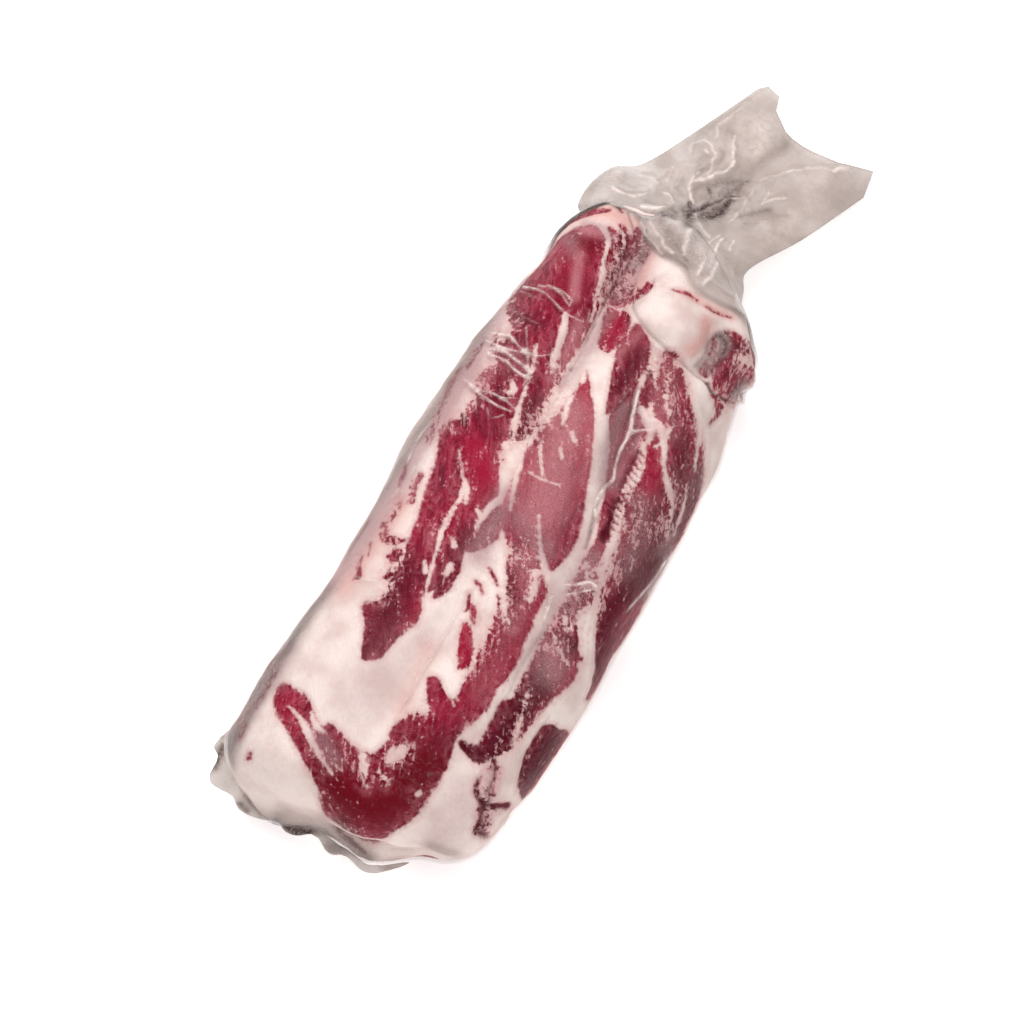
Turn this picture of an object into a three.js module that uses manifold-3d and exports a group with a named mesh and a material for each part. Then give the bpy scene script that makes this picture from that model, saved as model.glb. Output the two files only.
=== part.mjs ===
// A raw beef eye of round, vacuum packed in a clear bag. Millimetres, +Z up.
// The origin lies on the flat underside, below the middle of the meat. +Y runs along the meat
// towards the open end of the bag, and +X across it.
// Three pieces: the meat in its tight film, the loose end of the bag, and the seal fin that
// runs round the other end of the meat.

import * as THREE from "three";
import { mergeVertices } from "three/addons/utils/BufferGeometryUtils.js";
import { ImprovedNoise } from "three/addons/math/ImprovedNoise.js";
import Module from "manifold-3d";

const wasm = await Module();
wasm.setup();

// Driving sizes of the meat
const MEAT_START = -167;
const MEAT_END = 166;
const END_ROUNDING = { start: 20, end: 38 };
const END_SQUARENESS = { start: 3, end: 2.5 };
const SECTION_SQUARENESS = { top: 2.35, underside: 2.5 };
const REST_SINK = 5; // how far the round underside would reach below the table if it weren't pressed flat
const CLEARANCE = 0.3; // gap between pieces that touch

// How the meat changes along its length, as [y, size]
const LEFT_EDGE = [[-167, -62], [-120, -60], [-60, -58], [-20, -62], [55, -64], [110, -57.5], [166, -58]];
const RIGHT_EDGE = [
  [-167, 57],
  [-120, 62],
  [-85, 65],
  [-40, 64.5],
  [30, 65],
  [75, 60],
  [105, 54],
  [129, 62],
  [166, 42],
];
const CROWN = [[-167, 60], [-110, 70], [-20, 76], [80, 77], [140, 72], [166, 64]];
const WAIST_SHARE = 0.42; // height of the widest line, as a share of the crown

// Where the two ends stop, across the width, as [x, y]
const START_LINE = [[-66, -156], [-50, -165], [-30, -164], [-8, -161], [14, -163], [34, -153], [47, -153], [57, -145], [66, -124]];
const END_LINE = [[-66, 158], [-35, 168], [0, 166], [30, 150], [48, 140], [66, 114]];
const END_LINE_REACH = 75; // how far from an end its line still bends the sections

// Valleys between the muscles and folds, seen from above: [x, y] along each, with its depth
// at the start, middle and end
const GROOVES = [
  {
    name: "left muscle seam",
    path: [[-29, 152], [-17, 138], [-11, 110], [-9, 75], [-8, 50], [-7, 22], [-13, 4]],
    depth: [6, 6.5, 0.5],
    width: 7,
  },
  {
    name: "edge of the fat knob",
    path: [[-4, 122], [-5, 100], [0, 84], [14, 80], [36, 79], [52, 77], [64, 68]],
    depth: [3, 5.5, 3.5],
    width: 6.5,
  },
  { name: "split of the knob", path: [[41, 120], [37, 106], [37, 95], [40, 82]], depth: [2, 3, 2], width: 5 },
  {
    name: "right muscle seam",
    path: [[18, 76], [23, 58], [28, 35], [32, 5], [36, -14], [40, -46], [44, -80], [39, -106]],
    depth: [1, 5, 2],
    width: 6,
  },
  { name: "outer seam", path: [[36, 46], [41, 18], [46, -8], [50, -28], [54, -46]], depth: [0.6, 2.6, 0.6], width: 5 },
  { name: "fold in the fat", path: [[4, -38], [5, -60], [5, -90], [3, -118]], depth: [0.6, 2.2, 1.2], width: 5 },
  { name: "lower notch", path: [[38, -168], [37, -150], [35, -138], [31, -116]], depth: [8, 6, 1], width: 8 },
  { name: "crease in the lower fold", path: [[45, -116], [52, -126], [60, -132]], depth: [1, 3.2, 2.4], width: 6 },
];

// Swellings, seen from above
const SWELLINGS = [
  { name: "top of the left muscle", at: [-35, 118], reach: [16, 38], height: 4.5 },
  { name: "left muscle", at: [-36, 45], reach: [16, 45], height: 2.5 },
  { name: "fat knob", at: [17, 105], reach: [19, 20], height: 5.5 },
  { name: "lean end beside the knob", at: [52, 106], reach: [11, 17], height: 4.5 },
  { name: "centre muscle", at: [9, 40], reach: [13, 40], height: 3 },
  { name: "right muscle", at: [46, 22], reach: [12, 55], height: 3.5 },
  { name: "lower lean", at: [22, -95], reach: [13, 42], height: 3 },
  { name: "left fat", at: [-30, -90], reach: [22, 30], height: 3 },
  { name: "lower fat", at: [-31, -146], reach: [24, 18], height: 3 },
  { name: "lower fold", at: [51, -130], reach: [12, 22], height: 5 },
  { name: "right flank", at: [62, -60], reach: [12, 30], height: 2.5 },
];
const LUMP_SIZE = 34;
const LUMP_HEIGHT = 1.5;

// Loose end of the bag: its two long edges as 3-D points from inside the meat's end to the mouth
const TAIL_LEFT = [[-46, 128, 40], [-58, 156, 38], [-57, 183, 30], [-46, 201, 21], [-36, 238, 9], [-22, 281, 3.2]];
const TAIL_RIGHT = [[38, 108, 36], [37, 134, 34], [31, 155, 27], [26, 173, 19], [39, 208, 8], [53, 246, 3.2]];
const TAIL_THICKNESS = [[0, 30], [0.2, 26], [0.38, 14], [0.52, 7.5], [0.7, 4.5], [1, 2.2]];
const TAIL_EDGE_THICKNESS = 1.2;
const TAIL_LIFT = 0.6; // least height of the tail's underside above the table
// How far the mouth stands beyond the straight line between its corners, from left to right
const MOUTH_LINE = [[-1, 6], [-0.64, 0], [-0.1, -4], [0.45, 4], [0.82, 17], [1, 2]];
const MOUTH_REACH = 0.35; // share of the tail that the mouth's line bends
// Pleats fan out from the neck: place across the tail (-1 to 1) at the neck and at the mouth
const PLEATS = [
  { from: -0.62, to: -0.8, height: 1.6 },
  { from: -0.3, to: -0.35, height: 2.4 },
  { from: 0.02, to: 0.05, height: 3.2 },
  { from: 0.3, to: 0.42, height: 2.2 },
  { from: 0.64, to: 0.78, height: 1.4 },
];
const PLEAT_WIDTH = 0.09;
const NECK = 0.5; // share of the tail's length where the pleats are highest

// Seal fin round the closed end: [x, y, z] along its root, and how far it stands out there
const FIN_ROOT = [[-58, -128, 14], [-58, -148, 13], [-48, -160, 11], [-20, -162, 10], [12, -158, 9], [34, -146, 9]];
const FIN_DEPTH = [[0, 1], [0.2, 6], [0.32, 9], [0.46, 5.5], [0.62, 5], [0.76, 6], [0.88, 6.5], [1, 1]];
const FIN_THICKNESS = 1.4;
const FIN_BITE = 14; // how far the fin starts inside the meat before it is cut off there
const FIN_CURL = 2.2;

const RINGS = 76;
const AROUND = { top: 38, underside: 14 };
const CROWDING = 0.62; // how much closer together the rings stand near the ends (0 to 1)
const TAIL_STEPS = { along: 30, across: 26 };
const FIN_STEPS = { along: 44, out: 4 };

const clamp = THREE.MathUtils.clamp;
const smooth = THREE.MathUtils.smoothstep;
const lerp = THREE.MathUtils.lerp;
const noise = new ImprovedNoise();

// A smooth function through [place, value] knots, held at its end values beyond them.
function through(knots) {
  const places = knots.map(([place]) => place);
  const values = knots.map(([, value]) => value);
  const curve = new THREE.CubicInterpolant(places, values, 1, new Float32Array(1));
  const last = places.length - 1;
  return (place) => curve.evaluate(clamp(place, places[0], places[last]))[0];
}

const leftEdge = through(LEFT_EDGE);
const rightEdge = through(RIGHT_EDGE);
const crown = through(CROWN);
const startLine = through(START_LINE);
const endLine = through(END_LINE);

// A groove as points close together, each with its depth there.
const CARVED = GROOVES.map(({ path, depth, width }) => {
  const curve = new THREE.SplineCurve(path.map(([x, y]) => new THREE.Vector2(x, y)));
  const deep = through(depth.map((d, i) => [i / (depth.length - 1), d]));
  const points = curve.getPoints(40).map((p, i, all) => ({ p, deep: deep(i / (all.length - 1)) }));
  return { points, width };
});

// How far the surface stands above its plain section at a place seen from above.
function relief(x, y) {
  let height = 0;
  for (const { points, width } of CARVED) {
    let cut = 0;
    for (const { p, deep } of points) {
      const away = Math.hypot(x - p.x, y - p.y) / width;
      cut = Math.max(cut, deep * Math.exp(-away * away));
    }
    height -= cut;
  }
  for (const { at, reach, height: rise } of SWELLINGS) {
    const away = Math.hypot((x - at[0]) / reach[0], (y - at[1]) / reach[1]);
    height += rise * Math.exp(-away * away);
  }
  return height;
}

function lumps(x, y, z) {
  const k = LUMP_SIZE;
  return LUMP_HEIGHT * (noise.noise(x / k, y / k, z / k) + 0.5 * noise.noise((2 * x) / k, (2 * y) / k, (2 * z) / k + 7));
}

// How much a section at y has shrunk towards its middle, where the ends round off.
function endShare(y) {
  const fromStart = clamp((y - MEAT_START) / END_ROUNDING.start, 0, 1);
  const fromEnd = clamp((MEAT_END - y) / END_ROUNDING.end, 0, 1);
  const round = (t, power) => Math.pow(1 - Math.pow(1 - t, power), 1 / power);
  return round(fromStart, END_SQUARENESS.start) * round(fromEnd, END_SQUARENESS.end);
}

const signedPower = (value, power) => Math.sign(value) * Math.pow(Math.abs(value), power);

// A point of the wrapped meat: y along it, and angle round its section from +X over the top.
function meatPoint(y, angle) {
  const share = endShare(y);
  const half = (rightEdge(y) - leftEdge(y)) / 2;
  const middle = (rightEdge(y) + leftEdge(y)) / 2;
  const top = crown(y);
  const waist = WAIST_SHARE * top;
  const c = Math.cos(angle);
  const s = Math.sin(angle);
  const above = s >= 0;
  const power = 2 / (above ? SECTION_SQUARENESS.top : SECTION_SQUARENESS.underside);
  const rise = above ? top - waist : waist + REST_SINK;
  let x = middle + share * half * signedPower(c, power);
  let z = waist + share * rise * signedPower(s, power);
  const out = new THREE.Vector2(c / half, s / rise).normalize();
  const shown = smooth(s, -0.35, 0.3) * smooth(share, 0, 0.5);
  const push = shown * relief(x, y) + lumps(x, y, z) * smooth(s, -0.8, 0);
  x += out.x * push;
  z += out.y * push;
  const nearStart = 1 - smooth(y, MEAT_START, MEAT_START + END_LINE_REACH);
  const nearEnd = smooth(y, MEAT_END - END_LINE_REACH, MEAT_END);
  const along = y + nearStart * (startLine(x) - MEAT_START) + nearEnd * (endLine(x) - MEAT_END);
  return new THREE.Vector3(x, along, Math.max(z, 0));
}

// Places of the rings along the meat, closer together where the ends round off.
function ringPlaces() {
  const places = [];
  for (let i = 1; i < RINGS; i++) {
    const t = i / RINGS;
    const eased = t - (CROWDING * Math.sin(2 * Math.PI * t)) / (2 * Math.PI);
    places.push(lerp(MEAT_START, MEAT_END, eased));
  }
  return places;
}

function geometryOf(points, faces) {
  const geometry = new THREE.BufferGeometry();
  geometry.setAttribute("position", new THREE.Float32BufferAttribute(points.flatMap((p) => p.toArray()), 3));
  geometry.setIndex(faces);
  return geometry;
}

// Angles round a section, closer together over the top than under it.
function sectionAngles() {
  const angles = [];
  for (let j = 0; j < AROUND.top; j++) angles.push((Math.PI * j) / AROUND.top);
  for (let j = 0; j < AROUND.underside; j++) angles.push(Math.PI + (Math.PI * j) / AROUND.underside);
  return angles;
}

function wrappedMeat() {
  const rings = ringPlaces();
  const angles = sectionAngles();
  const count = angles.length;
  const points = [];
  const faces = [];
  for (const y of rings) for (const angle of angles) points.push(meatPoint(y, angle));
  const at = (i, j) => i * count + (j % count);
  for (let i = 0; i < rings.length - 1; i++)
    for (let j = 0; j < count; j++) {
      faces.push(at(i, j), at(i + 1, j), at(i, j + 1));
      faces.push(at(i + 1, j), at(i + 1, j + 1), at(i, j + 1));
    }
  const pole = (ring, step) => {
    const middle = new THREE.Vector3();
    for (let j = 0; j < count; j++) middle.add(points[at(ring, j)]);
    middle.divideScalar(count);
    return middle.setY(middle.y + step);
  };
  points.push(pole(0, -0.3), pole(rings.length - 1, 0.3));
  const last = rings.length - 1;
  for (let j = 0; j < count; j++) {
    faces.push(points.length - 2, at(0, j), at(0, j + 1));
    faces.push(points.length - 1, at(last, j + 1), at(last, j));
  }
  return geometryOf(points, faces);
}

// The same surface moved outwards by a distance, along its smooth normals.
function grown(geometry, distance) {
  const outer = geometry.clone();
  outer.computeVertexNormals();
  const { position, normal } = outer.attributes;
  const p = new THREE.Vector3();
  const n = new THREE.Vector3();
  for (let i = 0; i < position.count; i++) {
    p.fromBufferAttribute(position, i).addScaledVector(n.fromBufferAttribute(normal, i), distance);
    position.setXYZ(i, p.x, p.y, p.z);
  }
  return outer;
}

// A closed plate: an upper and a lower surface over the same grid, joined round their rim.
function plate(along, across, upper, lower) {
  const points = [];
  const faces = [];
  for (const surface of [upper, lower])
    for (let i = 0; i <= along; i++)
      for (let j = 0; j <= across; j++) points.push(surface(i / along, j / across));
  const row = across + 1;
  const below = (along + 1) * row;
  const quad = (a, b, c, d) => faces.push(a, b, c, a, c, d);
  for (let i = 0; i < along; i++)
    for (let j = 0; j < across; j++) {
      const a = i * row + j;
      quad(a, a + 1, a + row + 1, a + row);
      quad(below + a, below + a + row, below + a + row + 1, below + a + 1);
    }
  const wall = (a, b) => quad(a, b, below + b, below + a);
  for (let j = 0; j < across; j++) {
    wall(j + 1, j);
    wall(along * row + j, along * row + j + 1);
  }
  for (let i = 0; i < along; i++) {
    wall(i * row, (i + 1) * row);
    wall((i + 1) * row + across, i * row + across);
  }
  return geometryOf(points, faces);
}

const curveThrough = (list) => new THREE.CatmullRomCurve3(list.map((p) => new THREE.Vector3(...p)), false, "centripetal");

function bagTail() {
  const left = curveThrough(TAIL_LEFT);
  const right = curveThrough(TAIL_RIGHT);
  const thickness = through(TAIL_THICKNESS);
  const mouth = through(MOUTH_LINE);
  const axis = left.getPoint(1).add(right.getPoint(1)).sub(left.getPoint(0.6)).sub(right.getPoint(0.6));
  axis.setZ(0).normalize();
  const surface = (side) => (u, w) => {
    const across = 2 * w - 1;
    const p = left.getPoint(u).lerp(right.getPoint(u), w);
    p.addScaledVector(axis, smooth(u, 1 - MOUTH_REACH, 1) * mouth(across));
    const lens = Math.pow(1 - Math.pow(Math.abs(across), 2.6), 0.6);
    const half = (TAIL_EDGE_THICKNESS + (thickness(u) - TAIL_EDGE_THICKNESS) * lens) / 2;
    const strength = smooth(u, 0.2, NECK) * lerp(1, 0.45, smooth(u, NECK, 1)) * lens;
    let fold = 0;
    for (const { from, to, height } of PLEATS) {
      const off = (across - lerp(from, to, smooth(u, NECK - 0.1, 1))) / PLEAT_WIDTH;
      fold += height * Math.exp(-off * off);
    }
    fold += 1.2 * noise.noise(p.x / 17, p.y / 26, 3) - 0.8;
    p.z = Math.max(p.z + side * half + strength * fold, TAIL_LIFT + (side > 0 ? 2 * half : 0));
    return p;
  };
  return plate(TAIL_STEPS.along, TAIL_STEPS.across, surface(1), surface(-1));
}

function sealFin() {
  const root = curveThrough(FIN_ROOT);
  const depth = through(FIN_DEPTH);
  const surface = (side) => (u, w) => {
    const p = root.getPoint(u);
    const way = root.getTangent(u).setZ(0).normalize();
    const out = new THREE.Vector3(way.y, -way.x, 0);
    const reach = lerp(-FIN_BITE, depth(u), w);
    p.addScaledVector(out, reach);
    const curl = FIN_CURL * Math.sin(9 * u + 1) * Math.max(0, reach / FIN_BITE);
    p.z += curl + (side * FIN_THICKNESS) / 2;
    return p;
  };
  return plate(FIN_STEPS.along, FIN_STEPS.out, surface(1), surface(-1));
}

// Booleans, on geometry with its shared vertices merged
function solidOf(geometry) {
  const merged = mergeVertices(geometry, 1e-3);
  return new wasm.Manifold(
    new wasm.Mesh({
      numProp: 3,
      vertProperties: merged.attributes.position.array,
      triVerts: new Uint32Array(merged.index.array),
    }),
  );
}

function geometryFrom(solid) {
  const { vertProperties, triVerts } = solid.getMesh();
  const geometry = new THREE.BufferGeometry();
  geometry.setAttribute("position", new THREE.Float32BufferAttribute(vertProperties, 3));
  geometry.setIndex(Array.from(triVerts));
  return geometry;
}

// What is left of a piece of film outside the meat, with the scraps dropped.
function cutByMeat(geometry) {
  const left = solidOf(geometry).subtract(solidOf(grown(wrappedMeat(), CLEARANCE)));
  const [largest] = left.decompose().sort((a, b) => b.volume() - a.volume());
  return geometryFrom(largest);
}

const film = { color: 0xc9c0bd, roughness: 0.2, metalness: 0, transparent: true, opacity: 0.6 };

const meat = new THREE.Mesh(wrappedMeat(), new THREE.MeshStandardMaterial({ color: 0xa8485a, roughness: 0.3, metalness: 0 }));
meat.name = "wrapped_beef";

const tail = new THREE.Mesh(cutByMeat(bagTail()), new THREE.MeshStandardMaterial(film));
tail.name = "bag_tail";

const fin = new THREE.Mesh(cutByMeat(sealFin()), new THREE.MeshStandardMaterial(film));
fin.name = "bag_seal";

const part = new THREE.Group();
part.add(meat, tail, fin);

export default part;
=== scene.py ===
"""A raw beef joint in its vacuum bag: the meat, the tight film, the bag's loose end and its seal.

Lengths in the tables are millimetres. A marking on the meat or a fold in the film is given by where the
camera sees it on the level plane MARKED_HEIGHT above the table, x across the meat and y along it.
"""

import logging
import math
from dataclasses import dataclass
from enum import Enum

import bmesh
import bpy
import numpy as np
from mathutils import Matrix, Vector, noise


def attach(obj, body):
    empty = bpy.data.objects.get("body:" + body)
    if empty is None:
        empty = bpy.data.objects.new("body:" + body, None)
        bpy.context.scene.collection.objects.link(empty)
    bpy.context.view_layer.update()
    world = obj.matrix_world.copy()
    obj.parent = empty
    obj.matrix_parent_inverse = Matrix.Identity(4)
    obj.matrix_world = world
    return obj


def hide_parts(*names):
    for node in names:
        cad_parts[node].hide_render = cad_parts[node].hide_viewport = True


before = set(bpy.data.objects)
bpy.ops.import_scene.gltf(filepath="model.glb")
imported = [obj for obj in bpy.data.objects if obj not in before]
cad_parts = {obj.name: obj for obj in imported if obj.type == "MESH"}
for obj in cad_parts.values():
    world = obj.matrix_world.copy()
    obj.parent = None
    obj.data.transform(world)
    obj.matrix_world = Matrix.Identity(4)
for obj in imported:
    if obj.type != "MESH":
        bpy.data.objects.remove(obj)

log = logging.getLogger("beef")
MM = 0.001
MARKED_HEIGHT = 50.0
DOWNWARD = -0.25  # a face whose normal is lower than this belongs to the lower film
FAR = 12.0  # distances from a marking are kept to this many millimetres
TINY = 1e-9  # keeps a division from failing
CRUMB = 50  # a loose speck of a mesh has fewer points than this
FIBRES = (0.46, -0.89)  # the way the meat's fibres run, seen from above
GRAIN_SIZE = (7, 1.9, 2.4)  # the grain's length along the fibres, across them and in height
FACING_FROM = -0.05  # the camera sees a surface whose normal leans to it by more than this
FACING_WELL = 0.22  # and sees it well from here
REFINED_FACING = 0.3  # the share of facing from which a surface is refined
ROUND = 2.0  # the power that gives a stroke a round top
BLUNT = 1.7
KEEN = 1.6
SHARP = 1.4  # the power that gives it a sharp top
Point = tuple[float, float]
Place = tuple[float, float, float]


class Tissue(Enum):
    """What a marking lays down."""

    LEAN = "lean"
    FAT = "fat"


class Tone(Enum):
    """A soft change of colour, and the name of the mesh attribute that carries it."""

    BRIGHT = "bright"
    DEEP = "deep"
    DARK = "dark"
    DUSKY = "dusky"
    VEIL = "veil"
    BLUSH = "blush"
    GRIME_AND_SHADE = "grime_and_shade"
    FLECKED = "flecked"


@dataclass(frozen=True)
class Patch:
    """A closed area of one tissue."""

    name: str
    tissue: Tissue
    outline: tuple[Point, ...]


@dataclass(frozen=True)
class Streak:
    """A band of one tissue along a path, with its widths from start to end."""

    name: str
    tissue: Tissue
    path: tuple[Point, ...]
    widths: tuple[float, ...]


@dataclass(frozen=True)
class Stroke:
    """A soft stroke along a path, fading over its reach.

    Its strength is the share of a tone or a light, or the height of a fold in millimetres, which is
    negative for a crease.
    """

    path: tuple[Point, ...]
    reach: float
    strength: float


def strokes(*rows: tuple) -> tuple[Stroke, ...]:
    """Strokes from rows of a reach, a strength and the points of a path."""
    return tuple(Stroke(tuple(path), reach, strength) for reach, strength, *path in rows)


LEAN, FAT = Tissue.LEAN, Tissue.FAT

# fmt: off
# Areas of one tissue, laid on in this order before the streaks
PATCHES = (
    Patch("left muscle", LEAN, (
        (-54.5, 118), (-53, 128), (-49, 136), (-42, 140.5), (-35, 138), (-31, 131), (-28, 122), (-24, 112),
        (-19, 103), (-17, 96), (-16.3, 86), (-16.3, 76), (-17, 66), (-16.5, 58), (-16.5, 50), (-15, 45),
        (-14.5, 33), (-18, 25), (-22, 20), (-19, 12), (-16, 5), (-12, -2), (-14, -10), (-12, -20),
        (-12, -30), (-9.5, -38), (-6.5, -46), (-9, -55), (-12, -58), (-14, -55), (-16, -60), (-13.5, -64),
        (-12.5, -72), (-15.5, -80), (-17, -90), (-19, -94), (-24, -96), (-28, -90), (-31, -83), (-37, -75),
        (-32, -70), (-31, -65), (-36.5, -60), (-33, -53), (-35, -42), (-38, -28), (-42, -14), (-45.5, 0),
        (-51, 16), (-46, 24), (-46, 36), (-49, 44), (-47, 54), (-52, 62), (-54, 76), (-57, 84),
        (-57, 100))),
    Patch("brown flesh by the seam", LEAN, (
        (-24, 150), (-17, 146), (-13, 140), (-13, 130), (-12, 122), (-8, 114), (-9, 108), (-16, 106),
        (-19, 116), (-19, 130), (-22, 140))),
    Patch("patch under the knob", LEAN, (
        (-14, 106), (-9, 106.5), (-4, 104), (-2, 98), (-1, 91), (-4, 84), (-8, 82), (-11, 86), (-13, 94),
        (-15, 101))),
    Patch("dark lean under the knob", LEAN, (
        (0, 103), (5, 101), (10, 97), (14, 90), (15, 80), (14, 70), (12, 58), (9, 56), (4.5, 62), (1, 72),
        (-1.5, 84), (-1.5, 96))),
    Patch("right muscle", LEAN, (
        (18, 96), (24, 97), (30, 91), (38, 84), (43, 78), (48, 72), (55, 63), (61, 52), (65, 42), (68, 25),
        (70, 5), (70, -15), (70, -35), (70, -60), (66, -66), (62, -55), (56, -42), (52, -30), (49, -22),
        (45, -34), (41, -42), (37, -30), (35, -12), (33, 0), (30, 8), (27, 22), (22, 36), (17, 47),
        (12, 56), (13, 66), (15, 80))),
    Patch("slab", LEAN, (
        (-9, 70), (-5, 67), (2, 58), (8, 50), (13, 41), (17, 30), (21, 18), (26, 6), (29, -6), (28, -18),
        (24, -26), (14, -22), (6, -22), (-1, -20), (-5, -28), (-12, -32), (-11, -12), (-9, -4), (-11, 8),
        (-12, 22), (-12, 34), (-10, 44), (-8, 56))),
    Patch("brown fold of the knob", LEAN, (
        (34, 114), (38, 118), (42, 113), (42, 100), (41, 94), (36, 95), (37, 104))),
    Patch("knob end", LEAN, (
        (37, 119), (43, 121), (50, 119), (55, 113), (59, 104), (60, 92), (57, 87), (50, 88), (45, 92),
        (42, 98), (40, 108))),
    Patch("long lower lean", LEAN, (
        (6, -20), (14, -20), (22, -23), (29, -31), (31, -45), (33.5, -58), (34, -75), (33, -91),
        (28.5, -106), (31, -120), (31, -143), (27, -152), (22, -161), (10, -163), (0, -162), (-5, -159),
        (-11, -153), (-21, -146), (-34, -138), (-43, -133), (-48, -127), (-47, -121), (-40, -121),
        (-34, -122), (-24, -129), (-20, -126), (-7, -130), (1, -129), (3.5, -122), (2.5, -115), (6, -107),
        (12, -103), (8, -97), (4, -91), (5, -88), (9, -88), (14, -92), (19, -92), (18, -84), (18, -75),
        (16, -65), (14, -54), (17, -51), (14, -42), (9, -34))),
    Patch("bright triangle", LEAN, ((4, -61), (8, -61.5), (12, -66), (16.5, -74), (13, -80), (8, -72))),
    Patch("small dark piece", LEAN, ((2.5, -52), (6, -53), (10, -60), (6, -58))),
    Patch("piece by the ring", LEAN, ((-38, -46), (-35, -44.5), (-33.5, -49), (-36, -53), (-39.5, -50))),
    Patch("lower right lean", LEAN, (
        (37, -36), (43, -35), (49, -40), (53, -47), (56, -53), (57.5, -62), (55, -70), (53, -80),
        (51.5, -92), (49, -99), (46, -105), (41, -112), (33, -110), (29.5, -108), (30.5, -106), (35, -105),
        (36.5, -97), (36.5, -84), (39.5, -80), (39, -70), (38, -58))),
    Patch("edge lean", LEAN, (
        (57.5, -84), (63, -81.5), (72, -83), (73, -92), (71, -104), (66, -116), (61, -112), (57.5, -102),
        (56.5, -93))),
    Patch("flame in the slab", FAT, (
        (-3, -16), (1, -19), (5, -24), (9, -32), (13, -39), (18, -46), (22, -52), (17, -52), (13, -48),
        (16, -57), (18, -68), (14, -66), (10, -60), (6, -53), (1, -50), (-2, -56), (-7, -54), (-8, -42),
        (-7, -33), (-4, -36), (-1, -32), (0, -25))),
    Patch("root of the band", FAT, (
        (-11, 83), (-5, 83), (-1.5, 85), (0, 76), (3, 66), (0, 60), (-4, 66), (-7, 72))),
    Patch("white island", FAT, (
        (10, -118), (13, -119), (13, -124), (10, -129), (6.5, -128), (6, -124), (8.5, -120))),
    Patch("pale bay", FAT, ((-38, -61), (-32, -60), (-31, -66), (-36, -71), (-43, -67))),
    Patch("peach lobe", FAT, (
        (-14, 130), (-12.5, 135), (-9, 138.5), (-6.5, 135), (-8, 127), (-10.5, 119), (-12.5, 123))),
    Patch("pale corner of the knob end", FAT, ((49, 109), (52, 112), (56, 114), (56, 108), (52, 106))),
)

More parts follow.
